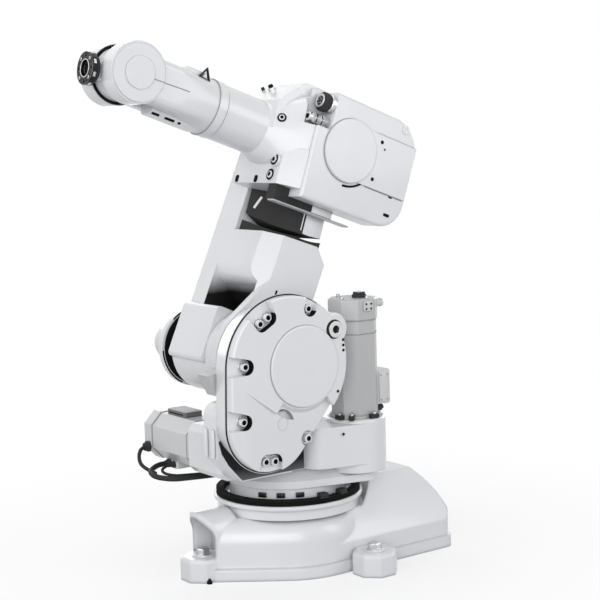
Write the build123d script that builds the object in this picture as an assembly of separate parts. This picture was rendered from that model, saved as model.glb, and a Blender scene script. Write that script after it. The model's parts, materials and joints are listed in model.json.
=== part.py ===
from build123d import *
import math
import os

# Six-axis industrial robot arm, in millimetres.
# The origin is on the upright first axis at floor level: +X forward, +Y to the arm's left, +Z up.
# At rest the lower arm leans back and the forearm rises.

# The chain of axes
shoulder_reach = 70.0  # first axis to second axis, forward
shoulder_height = 352.0  # floor to second axis
lower_arm_length = 360.0  # second axis to third axis
forearm_length = 380.0  # third axis to wrist centre
tool_length = 65.0  # wrist centre to tool face

# The rest pose, in degrees
lower_arm_lean = 24.0  # backwards from upright
forearm_rise = 19.5  # above level
tool_drop = 11.5  # below the line of the forearm

# Fits
running_gap = 0.05  # around a spigot in its bore
turning_gap = 0.3  # between faces that turn on each other
spigot_length = 20.0
moving_clearance = 6.0  # between bodies that pass each other

# Base
base_half_width = 135.0
base_rear = 256.0
base_corner = 22.0
lip_height = 20.0
lip_step = 5.0
bell_height = 94.0
bell_straight = 60.0  # height of the upright wall below the shoulder
shoulder_inset = 30.0
shoulder_mid_inset = 7.5  # roundness of the shoulder
shoulder_mid_rise = 5.0
hood_height = 132.0
hood_top_half_width = 64.0
hood_straight = 46.0
hood_top_rear = 214.0
hood_bulge = 5.0
hood_overlap = 1.0  # how far its curves start outside its walls
hood_mouth_flare = 11.0
collar_gap = 2.0
collar_radius = 125.0
collar_neck_radius = 119.0
collar_height = 24.0
collar_flange = 8.0
collar_edge = 2.5
pivot_radius = 55.0
ring_radius = 121.0
ring_width = 13.0
ring_height = 9.0

# Nose of the base, with the arched niche for the front lug
nose_front = 192.0
nose_half_width = 42.0
nose_corner = 38.0
arch_height = 110.0
arch_wall = 9.0

# Base lugs: square blocks with their corners cut
lug_width = 70.0
lug_corner = 21.0
lug_height = 37.0
lug_edge = 4.0
lug_hole = 13.0
side_lug_x = -55.0
side_lug_offset = 26.0  # from the side wall of the base to the middle of a side lug
front_lug_setback = 20.0  # from the tip of the nose to the middle of the front lug
niche_gap = 4.0  # behind the front lug

# Turntable
neck_radius = 98.0
dish_radius = 101.0
dish_rise = 23.0  # collar to the underside of the dish
dish_edge = 12.0
dish_slope_height = 20.0
dish_inset = 27.0
dish_lobe_radius = 34.0

# Frame: gear housing on the left, motor boss behind it
wall_inner = 91.0
wall_outer = 138.0
cover_face = 154.0
cover_drop = 12.0  # fall of the lower face at its rear end
cover_drop_start = 111.0  # from the second axis, forward
cover_drop_end = -60.0
cover_rim = 3.0
disc_height = 4.0
cover_upper = (25.0, 3.0)  # centre of the upper lobe, from the second axis
cover_upper_radius = 109.0
cover_lower = (60.0, -82.0)
cover_lower_radius = 77.0
cover_crease = (54.0, -68.0)  # where the crease meets the round boss
cover_crease_angle = 36.0
wall_margin = 3.0
wall_draft = 15.0  # how far the housing narrows towards its inner face
cover_boss_radius = 67.0
cover_boss_flank = 20.0
cover_disc_radius = 64.0
plug_place = (-60.0, 52.0)
plug_boss_radius = 26.0
plug_radius = 13.0
plug_height = 5.0
pedestal_rear = -46.0
pedestal_inner = 14.0
pedestal_top = 240.0
pedestal_corner = 30.0

# Screw pockets in the rim of the gear cover, as seen from the second axis
upper_pockets = ((106.0, 10.0), (-15.0, 88.0))
upper_double_pocket = (69.0, 77.0)
lower_pockets = ((112.0, -74.0), (-8.0, -116.0))
lower_double_pocket = (65.0, -142.0)
pocket_screw_radius = 12.0
pocket_screw_pitch = 17.0
pocket_floor = 141.5
pocket_flare = 5.0
hollow_ends = ((54.0, -66.0), (19.0, -82.0))  # small hollow beside the round boss
hollow_upper = (33.0, -65.0)
hollow_lower = (38.0, -77.0)
hollow_floor = 143.0

# End stop in front of the drum
stop_width = 30.0
stop_reach = 104.0
stop_length = 34.0
stop_height = 40.0
stop_slope = 7.0

# Motor of the first axis, upright behind the gear housing
motor_1_x = -78.0
motor_1_y = 89.0
motor_1_boss_radius = 50.0
motor_1_boss_bottom = 158.0
motor_1_boss_top = 246.0
motor_1_boss_edge = 5.0
motor_1_width = 72.0
motor_1_length = 162.0
motor_1_cap_length = 34.0
motor_1_cap_margin = 1.5
motor_corner = 20.0
cap_edge = 3.0
plug_socket_radius = 10.0
plug_socket_height = 9.0
plug_socket_offset = 8.0
terminal_depth = 26.0
terminal_width = 32.0
terminal_height = 58.0
terminal_rise = 14.0
gland_radius = 7.0
gland_length = 12.0
box_edge = 4.0

# Motor of the second axis, lying across the front of the frame
motor_2_x = 125.0
motor_2_z = 206.0
motor_2_mount_inner = 55.0
motor_2_mount_half = 70.0
motor_2_mount_rise = 22.0
motor_2_mount_cut = 42.0
motor_2_adapter_width = 80.0
motor_2_adapter_end = -45.0
motor_2_width = 78.0
motor_2_end = -165.0
motor_2_cap_length = 25.0
motor_2_cap_margin = 1.5
connector_box_length = 60.0
connector_box_width = 34.0
connector_box_height = 9.0
connector_box_setback = 16.0
outlet_width = 36.0
outlet_length = 34.0
outlet_height = 14.0
outlet_setback = 10.0

# Cables of the second motor, from its outlet block round to the turntable
power_cable_radius = 4.5
signal_cable_radius = 2.5
cable_bore_gap = 0.3
bend_share = 0.45  # of the shorter run, taken up by a bend
power_cable_route = ((143.0, -146.0, 160.0), (166.0, -146.0, 160.0), (192.0, -130.0, 156.0),
                     (198.0, -102.0, 152.0), (178.0, -78.0, 149.0), (126.0, -68.0, 147.5),
                     (74.0, -60.0, 147.0))
signal_cable_route = ((143.0, -130.0, 160.0), (158.0, -130.0, 160.0), (174.0, -121.0, 157.0),
                      (178.0, -104.0, 154.0), (166.0, -90.0, 151.0), (132.0, -84.0, 149.0),
                      (96.0, -79.0, 147.5), (62.0, -74.0, 147.0))

# Lower arm
drum_radius = 70.0
drum_spigot_radius = 45.0
arm_far_face = -128.0
arm_near_face = 40.0
arm_half_width = 60.0
arm_step_drop = 163.0  # top of the wide half, below the third axis
arm_step_slope = 8.0  # rise of the step from front to rear
arm_side_inner = -68.0  # inner face of the narrow half
arm_near_front = 34.0
arm_rear_chamfer = 24.0
near_flange_radius = 90.0
near_flange_thickness = 14.0
near_flange_drop = 85.0  # below the step
scoop_drop = 57.0  # below the step
scoop_rounding = 30.0
scoop_depth = 72.0
scoop_fall = 34.0
scoop_far_wall = 40.0
drum_panel_front = 72.0
drum_panel_low = -34.0
drum_panel_high = 62.0
drum_panel_near = -24.0
drum_panel_edge = 8.0
gasket_radius = 54.0
gasket_width = 34.0
shoulder_disc_radius = 69.0
shoulder_disc_thickness = 14.0
shoulder_disc_edge = 4.0
shoulder_cap_radius = 32.0
shoulder_cap_length = 80.0
shoulder_cap_edge = 6.0
inner_cover_front = 52.0
inner_cover_near_front = 4.0
inner_cover_rear = -46.0
inner_cover_near = 30.0

# Elbow: forearm housing on the third axis
elbow_far_face = -62.0
elbow_spigot_radius = 38.0
housing_inner = 50.0
housing_outer = 95.0
housing_front = 73.0
housing_rear = 136.0
housing_top = 83.0
housing_bottom = 99.0
housing_top_corner = 56.0
housing_bottom_corner = 46.0
housing_edge = 5.0
notch_front = 47.0  # wall behind the connectors
notch_floor = 20.0
notch_inner = 64.0
core_radius = 110.0  # reach of the middle of the elbow behind and below the axis
core_top = 88.0
core_top_front = 62.0
core_slope_end = 128.0
foot_front = 103.0
foot_bottom = 86.0
foot_near = 62.0
flank_start = 70.0
flank_end = 132.0  # where the sloping flank meets the tube
flank_far = -40.0
flank_top = 72.0
flank_bottom = -64.0
flank_corner = 18.0
band_half_height = 45.0
band_height = 3.0
band_fit = 0.2
round_cover_radius = 52.0
round_cover_height = 6.0
round_cover_edge = 2.0
tube_radius = 45.0
tube_start = 60.0
tube_end = 213.0
cable_box_front_far = 70.0
cable_box_front_near = 14.0
cable_box_rear = -24.0
cable_box_far = -52.0
cable_box_radius = 146.0  # reach of its round underside
guard_plate_level = 111.0
guard_plate_thickness = 2.5
guard_plate_front = 100.0
guard_plate_rear = -58.0
guard_plate_width = 16.0
guard_carrier_rear = -20.0
fitting_across = 17.0
fitting_length = 30.0
fitting_height = 31.0
signal_radius = 14.0
signal_length = 24.0
signal_height = 62.0
connector_inset = 15.0  # from the housing's outer face

# Forearm and wrist
forearm_spigot_radius = 30.0
fork_ring_length = 16.0
fork_ring_step = 1.5
fork_loft_end = 305.0
hub_radius = 47.0
hub_outer = 50.0
slot_half_width = 18.0
slot_back = 54.0  # behind the wrist centre
fork_waist = 35.0  # half height beside the slot
fork_edge = 12.0
fork_pad = (248.0, 292.0)
fork_pad_half_width = 26.0
fork_pad_top = 46.0
fork_pad_edge = 6.0
fork_strip = (236.0, 340.0)
fork_strip_half_width = 17.0
fork_strip_bottom = 45.0
fork_strip_edge = 5.0
hub_cover_radius = 44.0
hub_cover_height = 2.5
hub_cap_radius = 25.0
hub_cap_height = 2.0
tilt_radius = 41.0
tilt_side_gap = 1.5
tilt_spigot_radius = 20.0
tilt_spigot_length = 14.0
tilt_neck_radius = 16.0
tilt_neck_end = 54.0
flange_radius = 25.0
flange_bore = 12.5
flange_bore_depth = 6.0
flange_spigot_radius = 9.0
flange_spigot_length = 12.0
flange_hole_circle = 20.0
flange_hole_count = 4
flange_hole = 6.0
flange_hole_depth = 8.0

# Levels and places that follow from the sizes above
collar_top = bell_height + collar_height
dish_bottom = collar_top + dish_rise
dish_top = dish_bottom + dish_edge + dish_slope_height
side_lug_y = base_half_width + side_lug_offset
front_lug_x = nose_front - front_lug_setback
pedestal_front = motor_2_x - motor_2_adapter_width / 2 - box_edge
arm_step = lower_arm_length - arm_step_drop
near_flange_join = arm_step - near_flange_drop
scoop_top = arm_step - scoop_drop
guard_plate_near = arm_near_face + moving_clearance + guard_plate_width
shoulder_frame = Pos(shoulder_reach, 0, shoulder_height)
lower_frame = shoulder_frame * Rot(0, -lower_arm_lean, 0)
elbow_frame = lower_frame * Pos(0, 0, lower_arm_length) * Rot(0, lower_arm_lean - forearm_rise, 0)
wrist_frame = elbow_frame * Pos(forearm_length, 0, 0)
tool_frame = wrist_frame * Rot(0, tool_drop, 0)
motor_2_frame = Pos(motor_2_x, 0, motor_2_z)


def block(x, y, z):
    """Box between two limits along each axis."""
    size = [high - low for low, high in (x, y, z)]
    middle = [(low + high) / 2 for low, high in (x, y, z)]
    return Pos(*middle) * Box(*size)


def upright(radius, low, high, x=0.0, y=0.0):
    """Cylinder along Z."""
    return Pos(x, y, (low + high) / 2) * Cylinder(radius, high - low)


def crosswise(radius, low, high, x=0.0, z=0.0):
    """Cylinder along Y."""
    return Pos(x, (low + high) / 2, z) * Rot(90, 0, 0) * Cylinder(radius, high - low)


def lengthwise(radius, low, high, y=0.0, z=0.0):
    """Cylinder along X."""
    return Pos((low + high) / 2, y, z) * Rot(0, 90, 0) * Cylinder(radius, high - low)


def side_plate(outline, low, high):
    """Outline drawn in X and Z, given its thickness along Y."""
    return Pos(0, low, 0) * extrude(Plane.XZ * outline, high - low, dir=(0, 1, 0))


def floor_plate(outline, low, high):
    """Outline drawn in X and Y, given its height along Z."""
    return Pos(0, 0, low) * extrude(outline, high - low, dir=(0, 0, 1))


def polygon(*points):
    return make_face(Polyline(*points, close=True))


def hull_of(*circles):
    """Convex outline round circles given as (x, y, radius)."""
    edges = ShapeList()
    for x, y, radius in circles:
        edges += (Pos(x, y) * Circle(radius)).edges()
    return make_hull(edges)


def octagon(width, corner):
    """Square outline with its corners cut off."""
    return chamfer(Rectangle(width, width).vertices(), corner)


# Base


def nose_outline(inset):
    """Round bell drawn out forward into the nose."""
    corner_x = nose_front - nose_corner
    corner_y = nose_half_width - nose_corner
    corner = nose_corner - inset
    half = base_half_width - inset
    return hull_of((0, 0, half), (corner_x, corner_y, corner), (corner_x, -corner_y, corner))


def base_outline(inset):
    half = base_half_width - inset
    rear = base_rear - inset
    tail = Pos(-rear / 2, 0) * Rectangle(rear, 2 * half)
    tail = fillet(tail.vertices().group_by(Axis.X)[0], base_corner - inset)
    return nose_outline(inset) + tail


def bell():
    """Upright wall with a rounded shoulder that closes in to the collar."""

    def section(inset, height):
        return (Pos(0, 0, height) * nose_outline(lip_step + inset)).faces()[0]

    middle = (bell_straight + bell_height) / 2 + shoulder_mid_rise
    shoulder = loft([section(0, bell_straight), section(shoulder_mid_inset, middle),
                     section(shoulder_inset, bell_height)])
    return floor_plate(nose_outline(lip_step), 0, bell_straight) + shoulder


def hood():
    foot = base_half_width - lip_step + hood_overlap
    slant = ((foot + hood_top_half_width) / 2 + hood_bulge, (hood_straight + hood_height) / 2 + hood_bulge)
    end = Polyline((0, 0), (foot, 0), (foot, hood_straight))
    end += ThreePointArc((foot, hood_straight), slant, (hood_top_half_width, hood_height))
    end += Polyline((hood_top_half_width, hood_height), (0, hood_height), (0, 0))
    end = make_face(end)
    end += mirror(end, Plane.YZ)
    rear = base_rear - lip_step + hood_overlap
    curve = ((rear + hood_top_rear) / 2 + hood_bulge, (hood_straight + hood_height) / 2 + hood_bulge)
    side = Polyline((0, 0), (-rear, 0), (-rear, hood_straight))
    side += ThreePointArc((-rear, hood_straight), (-curve[0], curve[1]), (-hood_top_rear, hood_height))
    side += Polyline((-hood_top_rear, hood_height), (0, hood_height), (0, 0))
    solid = extrude(Plane.YZ * end, base_rear, dir=(-1, 0, 0))
    solid &= side_plate(make_face(side), -base_half_width, base_half_width)
    solid &= floor_plate(base_outline(lip_step), 0, hood_height)
    mouth = collar_radius + collar_gap
    opening = Cone(mouth, mouth + hood_mouth_flare, hood_height - bell_height)
    return solid - Pos(0, 0, (hood_height + bell_height) / 2) * opening


def lug(x, y):
    """Bolt block with a bevelled top, its hole left out."""
    solid = floor_plate(octagon(lug_width, lug_corner), 0, lug_height)
    return Pos(x, y, 0) * chamfer(solid.edges().group_by(Axis.Z)[-1], lug_edge)


def arch(half, height, start, end):
    """Barrel along X with upright sides."""
    spring = height - half
    outline = Pos(0, spring / 2) * Rectangle(2 * half, spring) + Pos(0, spring) * Circle(half)
    return Pos(start, 0, 0) * extrude(Plane.YZ * outline, end - start, dir=(1, 0, 0))


def base_casting():
    solid = floor_plate(base_outline(0), 0, lip_height) + bell() + hood()
    vault = arch(nose_half_width - lip_step, arch_height, 0, nose_front)
    vault &= floor_plate(nose_outline(lip_step), 0, arch_height)
    solid += vault - upright(collar_radius + collar_gap, bell_height, arch_height)
    niche_start = front_lug_x - lug_width / 2 - niche_gap
    niche_half = nose_half_width - arch_wall
    niche = arch(niche_half, arch_height - arch_wall, niche_start, nose_front + lug_width)
    solid -= niche & block((niche_start, nose_front + lug_width), (-niche_half, niche_half),
                           (lip_height, arch_height))
    places = ((side_lug_x, side_lug_y), (side_lug_x, -side_lug_y), (front_lug_x, 0))
    for place in places:
        solid += lug(*place)
    for place in places:
        solid -= upright(lug_hole / 2, 0, lug_height, *place)
    return solid


def base_collar():
    solid = upright(collar_neck_radius, bell_height, collar_top)
    flange = upright(collar_radius, collar_top - collar_flange, collar_top)
    solid += fillet(flange.edges().filter_by(GeomType.CIRCLE), collar_edge)
    return solid - upright(pivot_radius + running_gap, bell_height, collar_top)


def cable_guide_ring():
    ring = upright(ring_radius, collar_top, collar_top + ring_height)
    return ring - upright(ring_radius - ring_width, collar_top, collar_top + ring_height)


# Turntable and frame


def dish():
    """Pear-shaped plate under the frame, with a sloping top."""

    def outline(inset, height):
        outer = hull_of((0, 0, dish_radius - inset), (motor_1_x, motor_1_y, dish_lobe_radius - inset))
        return (Pos(0, 0, height) * outer).faces()[0]

    edge_top = dish_bottom + dish_edge
    edge = extrude(outline(0, dish_bottom), dish_edge, dir=(0, 0, 1))
    return edge + loft([outline(0, edge_top), outline(dish_inset, dish_top)])


def turntable():
    low = collar_top + turning_gap
    solid = upright(pivot_radius, collar_top - spigot_length, low)
    solid += upright(neck_radius, low, dish_bottom) + dish()
    solid -= cable(power_cable_route, power_cable_radius + cable_bore_gap)
    return solid - cable(signal_cable_route, signal_cable_radius + cable_bore_gap)


def gear_outline(margin):
    """Outline of the gear housing, drawn from the second axis."""
    return hull_of((*cover_upper, cover_upper_radius + margin), (*cover_lower, cover_lower_radius + margin))


def gear_wall():
    """Side wall of the housing, narrower towards its inner face."""

    def section(margin, y):
        return Pos(0, y, 0) * (Plane.XZ * gear_outline(margin)).faces()[0]

    wall = loft([section(wall_margin - wall_draft, wall_inner), section(wall_margin, wall_outer)])
    return wall + crosswise(plug_boss_radius, wall_inner, wall_outer, *plug_place)


def frame_casting():
    solid = shoulder_frame * gear_wall()
    mount_top = motor_2_z + motor_2_mount_half + motor_2_mount_rise
    mount_low = motor_2_z - motor_2_mount_half / 2
    mount = block((motor_2_x - motor_2_mount_half, motor_2_x + motor_2_mount_half),
                  (motor_2_mount_inner, wall_inner), (mount_low, mount_top))
    long_edges = mount.edges().filter_by(Axis.Y).group_by(Axis.X)[-1].sort_by(Axis.Z)
    mount = chamfer(long_edges[0], motor_2_mount_cut)
    solid += fillet(mount.edges().filter_by(Axis.Y).group_by(Axis.Z)[-1], motor_corner)
    pedestal = block((pedestal_rear, pedestal_front), (pedestal_inner, wall_inner), (dish_top, pedestal_top))
    solid += fillet(pedestal.edges().filter_by(Axis.Z), pedestal_corner)
    boss_outline = hull_of((motor_1_x, motor_1_y, motor_1_boss_radius), (0, wall_inner, pedestal_corner))
    solid += floor_plate(boss_outline, dish_top, pedestal_top)
    boss = upright(motor_1_boss_radius, motor_1_boss_bottom, motor_1_boss_top, motor_1_x, motor_1_y)
    solid += fillet(boss.edges().group_by(Axis.Z)[-1], motor_1_boss_edge)
    solid -= shoulder_frame * crosswise(drum_radius + moving_clearance, pedestal_inner, wall_inner)
    bore = crosswise(drum_spigot_radius + running_gap, wall_inner, wall_inner + spigot_length)
    return solid - shoulder_frame * bore - dish()


def screw_pocket(place, lobe, pitches=(0.0,)):
    """Recess for the screws at the pitches given, open towards the rim of the cover."""
    out = (Vector(*place) - Vector(*lobe)).normalized()
    along = Vector(-out.Y, out.X)
    circles = []
    for pitch in pitches:
        seat = Vector(*place) + along * pitch
        mouth = seat + out * cover_lower_radius / 2
        circles.append((seat.X, seat.Y, pocket_screw_radius))
        circles.append((mouth.X, mouth.Y, pocket_screw_radius + pocket_flare))
    return side_plate(hull_of(*circles), pocket_floor, cover_face + cover_drop)


def gear_cover():
    """Cover with a round boss whose lower face falls away behind a crease."""
    outline = gear_outline(0) + Pos(*plug_place) * Circle(plug_boss_radius)
    solid = side_plate(outline, wall_outer, cover_face)
    solid = fillet(solid.edges().group_by(Axis.Y)[-1], cover_rim)
    reach = cover_upper_radius + cover_lower_radius + plug_boss_radius
    slope = cover_drop / (cover_drop_start - cover_drop_end)
    end = cover_drop_start - reach
    wedge = polygon((cover_drop_start, cover_face), (end, cover_face), (end, cover_face - slope * reach))
    fall = floor_plate(wedge, -reach, reach)
    crease = Vector(*cover_crease)
    far = crease + Vector(reach, 0).rotate(Axis.Z, cover_crease_angle)
    back = Vector(-crease.X, crease.Y)
    raised = polygon((0, 0), crease, far, (reach, reach), (-reach, reach), (-reach, back.Y), back)
    flank = Cone(cover_boss_radius + cover_boss_flank, cover_boss_radius, 2 * cover_drop)
    fall -= side_plate(raised, wall_outer, cover_face)
    fall -= Pos(0, cover_face - cover_drop, 0) * Rot(-90, 0, 0) * flank
    solid -= fall
    pair = (-pocket_screw_pitch / 2, pocket_screw_pitch / 2)
    for place in upper_pockets:
        solid -= screw_pocket(place, cover_upper)
    for place in lower_pockets:
        solid -= screw_pocket(place, cover_lower)
    solid -= screw_pocket(upper_double_pocket, cover_upper, pair)
    solid -= screw_pocket(lower_double_pocket, cover_lower, pair)
    start, end = hollow_ends
    hollow = ThreePointArc(start, hollow_upper, end) + ThreePointArc(end, hollow_lower, start)
    solid -= side_plate(make_face(hollow), hollow_floor, cover_face)
    return shoulder_frame * solid


def gear_cover_disc():
    disc = crosswise(cover_disc_radius, cover_face, cover_face + disc_height)
    return shoulder_frame * fillet(disc.edges().group_by(Axis.Y)[-1], disc_height / 2)


def oil_plug():
    top = cover_face + plug_height
    plug = crosswise(plug_radius, cover_face, top, *plug_place)
    plug -= crosswise(plug_radius / 2, cover_face + plug_height / 2, top, *plug_place)
    return shoulder_frame * plug


def stop_bracket():
    """Triangular end stop on the inner side of the gear housing, in front of the drum."""
    outline = polygon((stop_reach, 0), (stop_reach + stop_length, -stop_slope),
                      (stop_reach + stop_length / 2, -stop_height))
    return shoulder_frame * side_plate(outline, wall_inner - stop_width, wall_inner)


# Motors


def motor_1_body():
    outline = octagon(motor_1_width, motor_corner)
    return Pos(motor_1_x, motor_1_y, motor_1_boss_top) * extrude(outline, motor_1_length)


def motor_1_cap():
    outline = octagon(motor_1_width + 2 * motor_1_cap_margin, motor_corner)
    cap = extrude(outline, motor_1_cap_length)
    cap = fillet(cap.edges().group_by(Axis.Z)[-1], cap_edge)
    return Pos(motor_1_x, motor_1_y, motor_1_boss_top + motor_1_length) * cap


def motor_1_connector():
    top = motor_1_boss_top + motor_1_length + motor_1_cap_length
    x = motor_1_x - plug_socket_offset
    y = motor_1_y + plug_socket_offset
    return upright(plug_socket_radius, top, top + plug_socket_height, x, y)


def motor_1_terminal_box():
    rear = motor_1_x - motor_1_width / 2
    low = motor_1_boss_top + terminal_rise
    half = terminal_width / 2
    box = block((rear - terminal_depth, rear), (motor_1_y - half, motor_1_y + half),
                (low, low + terminal_height))
    return fillet(box.edges().filter_by(Axis.X), box_edge)


def motor_1_gland():
    """Cable gland under the terminal box."""
    x = motor_1_x - motor_1_width / 2 - terminal_depth / 2
    top = motor_1_boss_top + terminal_rise
    return upright(gland_radius, top - gland_length, top, x, motor_1_y)


def motor_2_adapter():
    outline = octagon(motor_2_adapter_width, motor_corner / 2)
    return motor_2_frame * side_plate(outline, motor_2_adapter_end, motor_2_mount_inner)


def motor_2_body():
    outline = octagon(motor_2_width, motor_corner)
    return motor_2_frame * side_plate(outline, motor_2_end, motor_2_adapter_end)


def motor_2_end_cap():
    outline = octagon(motor_2_width + 2 * motor_2_cap_margin, motor_corner)
    cap = side_plate(outline, motor_2_end - motor_2_cap_length, motor_2_end)
    return motor_2_frame * fillet(cap.edges().group_by(Axis.Y)[0], cap_edge)


def motor_2_connector_box():
    top = motor_2_width / 2
    start = motor_2_end + connector_box_setback
    half = connector_box_width / 2
    box = block((-half, half), (start, start + connector_box_length), (top, top + connector_box_height))
    return motor_2_frame * fillet(box.edges().filter_by(Axis.Z), box_edge)


def motor_2_cable_outlet():
    """Block under the motor where its cables come out."""
    low = -motor_2_width / 2
    start = motor_2_end + outlet_setback
    half = outlet_width / 2
    box = block((-half, half), (start, start + outlet_length), (low - outlet_height, low))
    return motor_2_frame * fillet(box.edges().filter_by(Axis.Z), box_edge)


def cable(route, radius):
    """Round cable along straight runs joined by bends as large as the runs allow."""
    points = [Vector(*point) for point in route]
    bends = []
    for before, corner, after in zip(points, points[1:], points[2:]):
        turn = math.radians((corner - before).get_angle(after - corner))
        shorter = min((corner - before).length, (after - corner).length)
        bends.append(bend_share * shorter / math.tan(turn / 2))
    path = FilletPolyline(*points, radius=bends)
    section = Plane(points[0], z_dir=points[1] - points[0]) * Circle(radius)
    print("cable bends", [round(bend) for bend in bends], "length", round(path.length))
    return sweep(section, path=path)


# Lower arm, drawn from the second axis with Z along the arm


def arm_block():
    """Wide half of the arm, with a sloping step on top and a chamfered rear corner."""
    step_rear = arm_step + arm_step_slope
    outline = polygon((arm_half_width, 0), (arm_half_width, arm_step),
                      (arm_rear_chamfer - arm_half_width, step_rear),
                      (-arm_half_width, step_rear - arm_rear_chamfer), (-arm_half_width, 0))
    solid = side_plate(outline, arm_side_inner, arm_near_face)
    front_near = solid.edges().filter_by(Axis.Z).group_by(Axis.X)[-1].sort_by(Axis.Y)[-1]
    return chamfer(front_near, arm_half_width - arm_near_front)


def scoop_outline():
    """Front pocket over the drum: its wall rolls over from the front face and runs back as it falls."""
    front = (arm_half_width, scoop_top)
    roll = Vector(0, scoop_rounding).rotate(Axis.Z, -45)
    middle = Vector(arm_half_width - scoop_rounding, scoop_top) + Vector(roll.X, -roll.Y)
    turn = (arm_half_width - scoop_rounding, scoop_top - scoop_rounding)
    deep = (arm_half_width - scoop_depth, scoop_top - scoop_rounding - scoop_fall)
    reach = arm_half_width + drum_panel_front
    wall = ThreePointArc(front, middle, turn)
    wall += Polyline(turn, deep, (deep[0], 0), (reach, 0), (reach, scoop_top), front)
    return make_face(wall)


def lower_arm_casting():
    far_outline = hull_of((0, 0, arm_half_width), (0, lower_arm_length, arm_half_width))
    solid = side_plate(far_outline, arm_far_face, arm_side_inner) + arm_block()
    flange_inner = arm_near_face - near_flange_thickness
    solid -= side_plate(scoop_outline(), arm_far_face + scoop_far_wall, flange_inner)
    join_radius = (arm_near_front + arm_half_width) / 2
    flange = hull_of((0, 0, near_flange_radius),
                     (arm_near_front - join_radius, near_flange_join, join_radius))
    solid += side_plate(flange, flange_inner, arm_near_face)
    panel = block((0, drum_panel_front), (arm_far_face, drum_panel_near), (drum_panel_low, drum_panel_high))
    solid += fillet(panel.edges().filter_by(Axis.Y).group_by(Axis.X)[-1], drum_panel_edge)
    solid += crosswise(drum_radius, arm_far_face, wall_inner - turning_gap)
    solid += crosswise(drum_spigot_radius, wall_inner - turning_gap, wall_inner + spigot_length - turning_gap)
    bore = crosswise(elbow_spigot_radius + running_gap, arm_side_inner - spigot_length, arm_side_inner,
                     0, lower_arm_length)
    return lower_frame * (solid - bore)


def shoulder_gasket():
    return lower_frame * crosswise(gasket_radius, arm_far_face - gasket_width, arm_far_face)


def shoulder_disc():
    near = arm_far_face - gasket_width
    disc = crosswise(shoulder_disc_radius, near - shoulder_disc_thickness, near)
    return lower_frame * fillet(disc.edges().group_by(Axis.Y)[0], shoulder_disc_edge)


def shoulder_cap():
    near = arm_far_face - gasket_width - shoulder_disc_thickness
    cap = crosswise(shoulder_cap_radius, near - shoulder_cap_length, near)
    return lower_frame * fillet(cap.edges().group_by(Axis.Y)[0], shoulder_cap_edge)


def inner_cover():
    """Dark saddle over the step, slanting back towards the near side and hollowed for the elbow to pass."""
    outline = polygon((inner_cover_front, arm_side_inner), (inner_cover_near_front, inner_cover_near),
                      (inner_cover_rear, inner_cover_near), (inner_cover_rear, arm_side_inner))
    cover = floor_plate(outline, arm_step, lower_arm_length)
    passage = cable_box_radius + moving_clearance
    saddle = crosswise(passage, arm_side_inner, inner_cover_near, 0, lower_arm_length)
    above = block((inner_cover_rear, inner_cover_front), (arm_side_inner, inner_cover_near),
                  (lower_arm_length - tube_radius, lower_arm_length))
    return lower_frame * (cover - saddle - above - arm_block())


# Elbow, drawn from the third axis with X along the forearm


def elbow_core():
    """Middle of the elbow: round behind, with a sloping top in front and a foot below."""
    outline = Circle(core_radius) & (Pos(-core_radius, 0) * Rectangle(2 * core_radius, 2 * core_radius))
    outline += polygon((0, core_radius), (0, -core_radius), (foot_front, -core_radius), (foot_front, 0),
                       (core_slope_end, 0), (core_slope_end, tube_radius), (core_top_front, core_radius))
    height = core_top + foot_bottom
    outline &= Pos(0, (core_top - foot_bottom) / 2) * Rectangle(2 * (core_radius + core_slope_end), height)
    return side_plate(outline, elbow_far_face, housing_inner)


def flank_loft():
    """Smooth passage from the front of the housing into the round tube."""
    edge = housing_outer - housing_edge
    block_face = Rectangle(edge - flank_far, flank_top - flank_bottom)
    block_face = fillet(block_face.vertices(), flank_corner)
    centre = ((edge + flank_far) / 2, (flank_top + flank_bottom) / 2)
    root = Pos(flank_start, 0, 0) * (Plane.YZ * (Pos(*centre) * block_face)).faces()[0]
    tip = Pos(flank_end, 0, 0) * (Plane.YZ * Circle(tube_radius)).faces()[0]
    return loft([root, tip])


def elbow_foot():
    """Lower front of the elbow, with a flank that slopes back to the housing."""
    edge = housing_outer - housing_edge
    outline = polygon((0, 0), (0, housing_inner), (housing_front, edge),
                      (foot_front, foot_near), (foot_front, 0))
    return floor_plate(outline, -foot_bottom, -tube_radius / 2)


def notch():
    """Room in the front top corner of the housing for the connectors."""
    reach = housing_front + connector_inset
    return block((notch_front, reach), (notch_inner, reach + housing_outer),
                 (notch_floor, reach + housing_top))


def elbow_solid():
    return elbow_core() + flank_loft() + elbow_foot() - elbow_housing_solid() - notch()


def elbow_casting():
    solid = elbow_solid()
    solid += lengthwise(tube_radius, tube_start, tube_end)
    solid += crosswise(elbow_spigot_radius, arm_side_inner - spigot_length + turning_gap, elbow_far_face)
    bore = lengthwise(forearm_spigot_radius + running_gap, tube_end - spigot_length, tube_end)
    return elbow_frame * (solid - bore)


def housing_outline():
    length = housing_front + housing_rear
    height = housing_top + housing_bottom
    middle = ((housing_front - housing_rear) / 2, (housing_top - housing_bottom) / 2)
    outline = Pos(*middle) * Rectangle(length, height)
    rear = outline.vertices().group_by(Axis.X)[0].sort_by(Axis.Y)
    outline = fillet(rear[-1], housing_top_corner)
    rear = outline.vertices().group_by(Axis.Y)[0].sort_by(Axis.X)
    return fillet(rear[0], housing_bottom_corner)


def elbow_housing_solid():
    solid = side_plate(housing_outline(), housing_inner, housing_outer)
    solid = fillet(solid.edges().group_by(Axis.Y)[-1], housing_edge)
    return solid - notch()


def elbow_housing():
    return elbow_frame * elbow_housing_solid()


def elbow_band():
    """Raised band from the round cover to the rear end of the housing."""
    band = block((-housing_rear + housing_edge, 0), (housing_outer, housing_outer + band_height),
                 (-band_half_height, band_half_height))
    seat = crosswise(round_cover_radius + band_fit, housing_outer, housing_outer + band_height)
    return elbow_frame * (band - seat)


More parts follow.
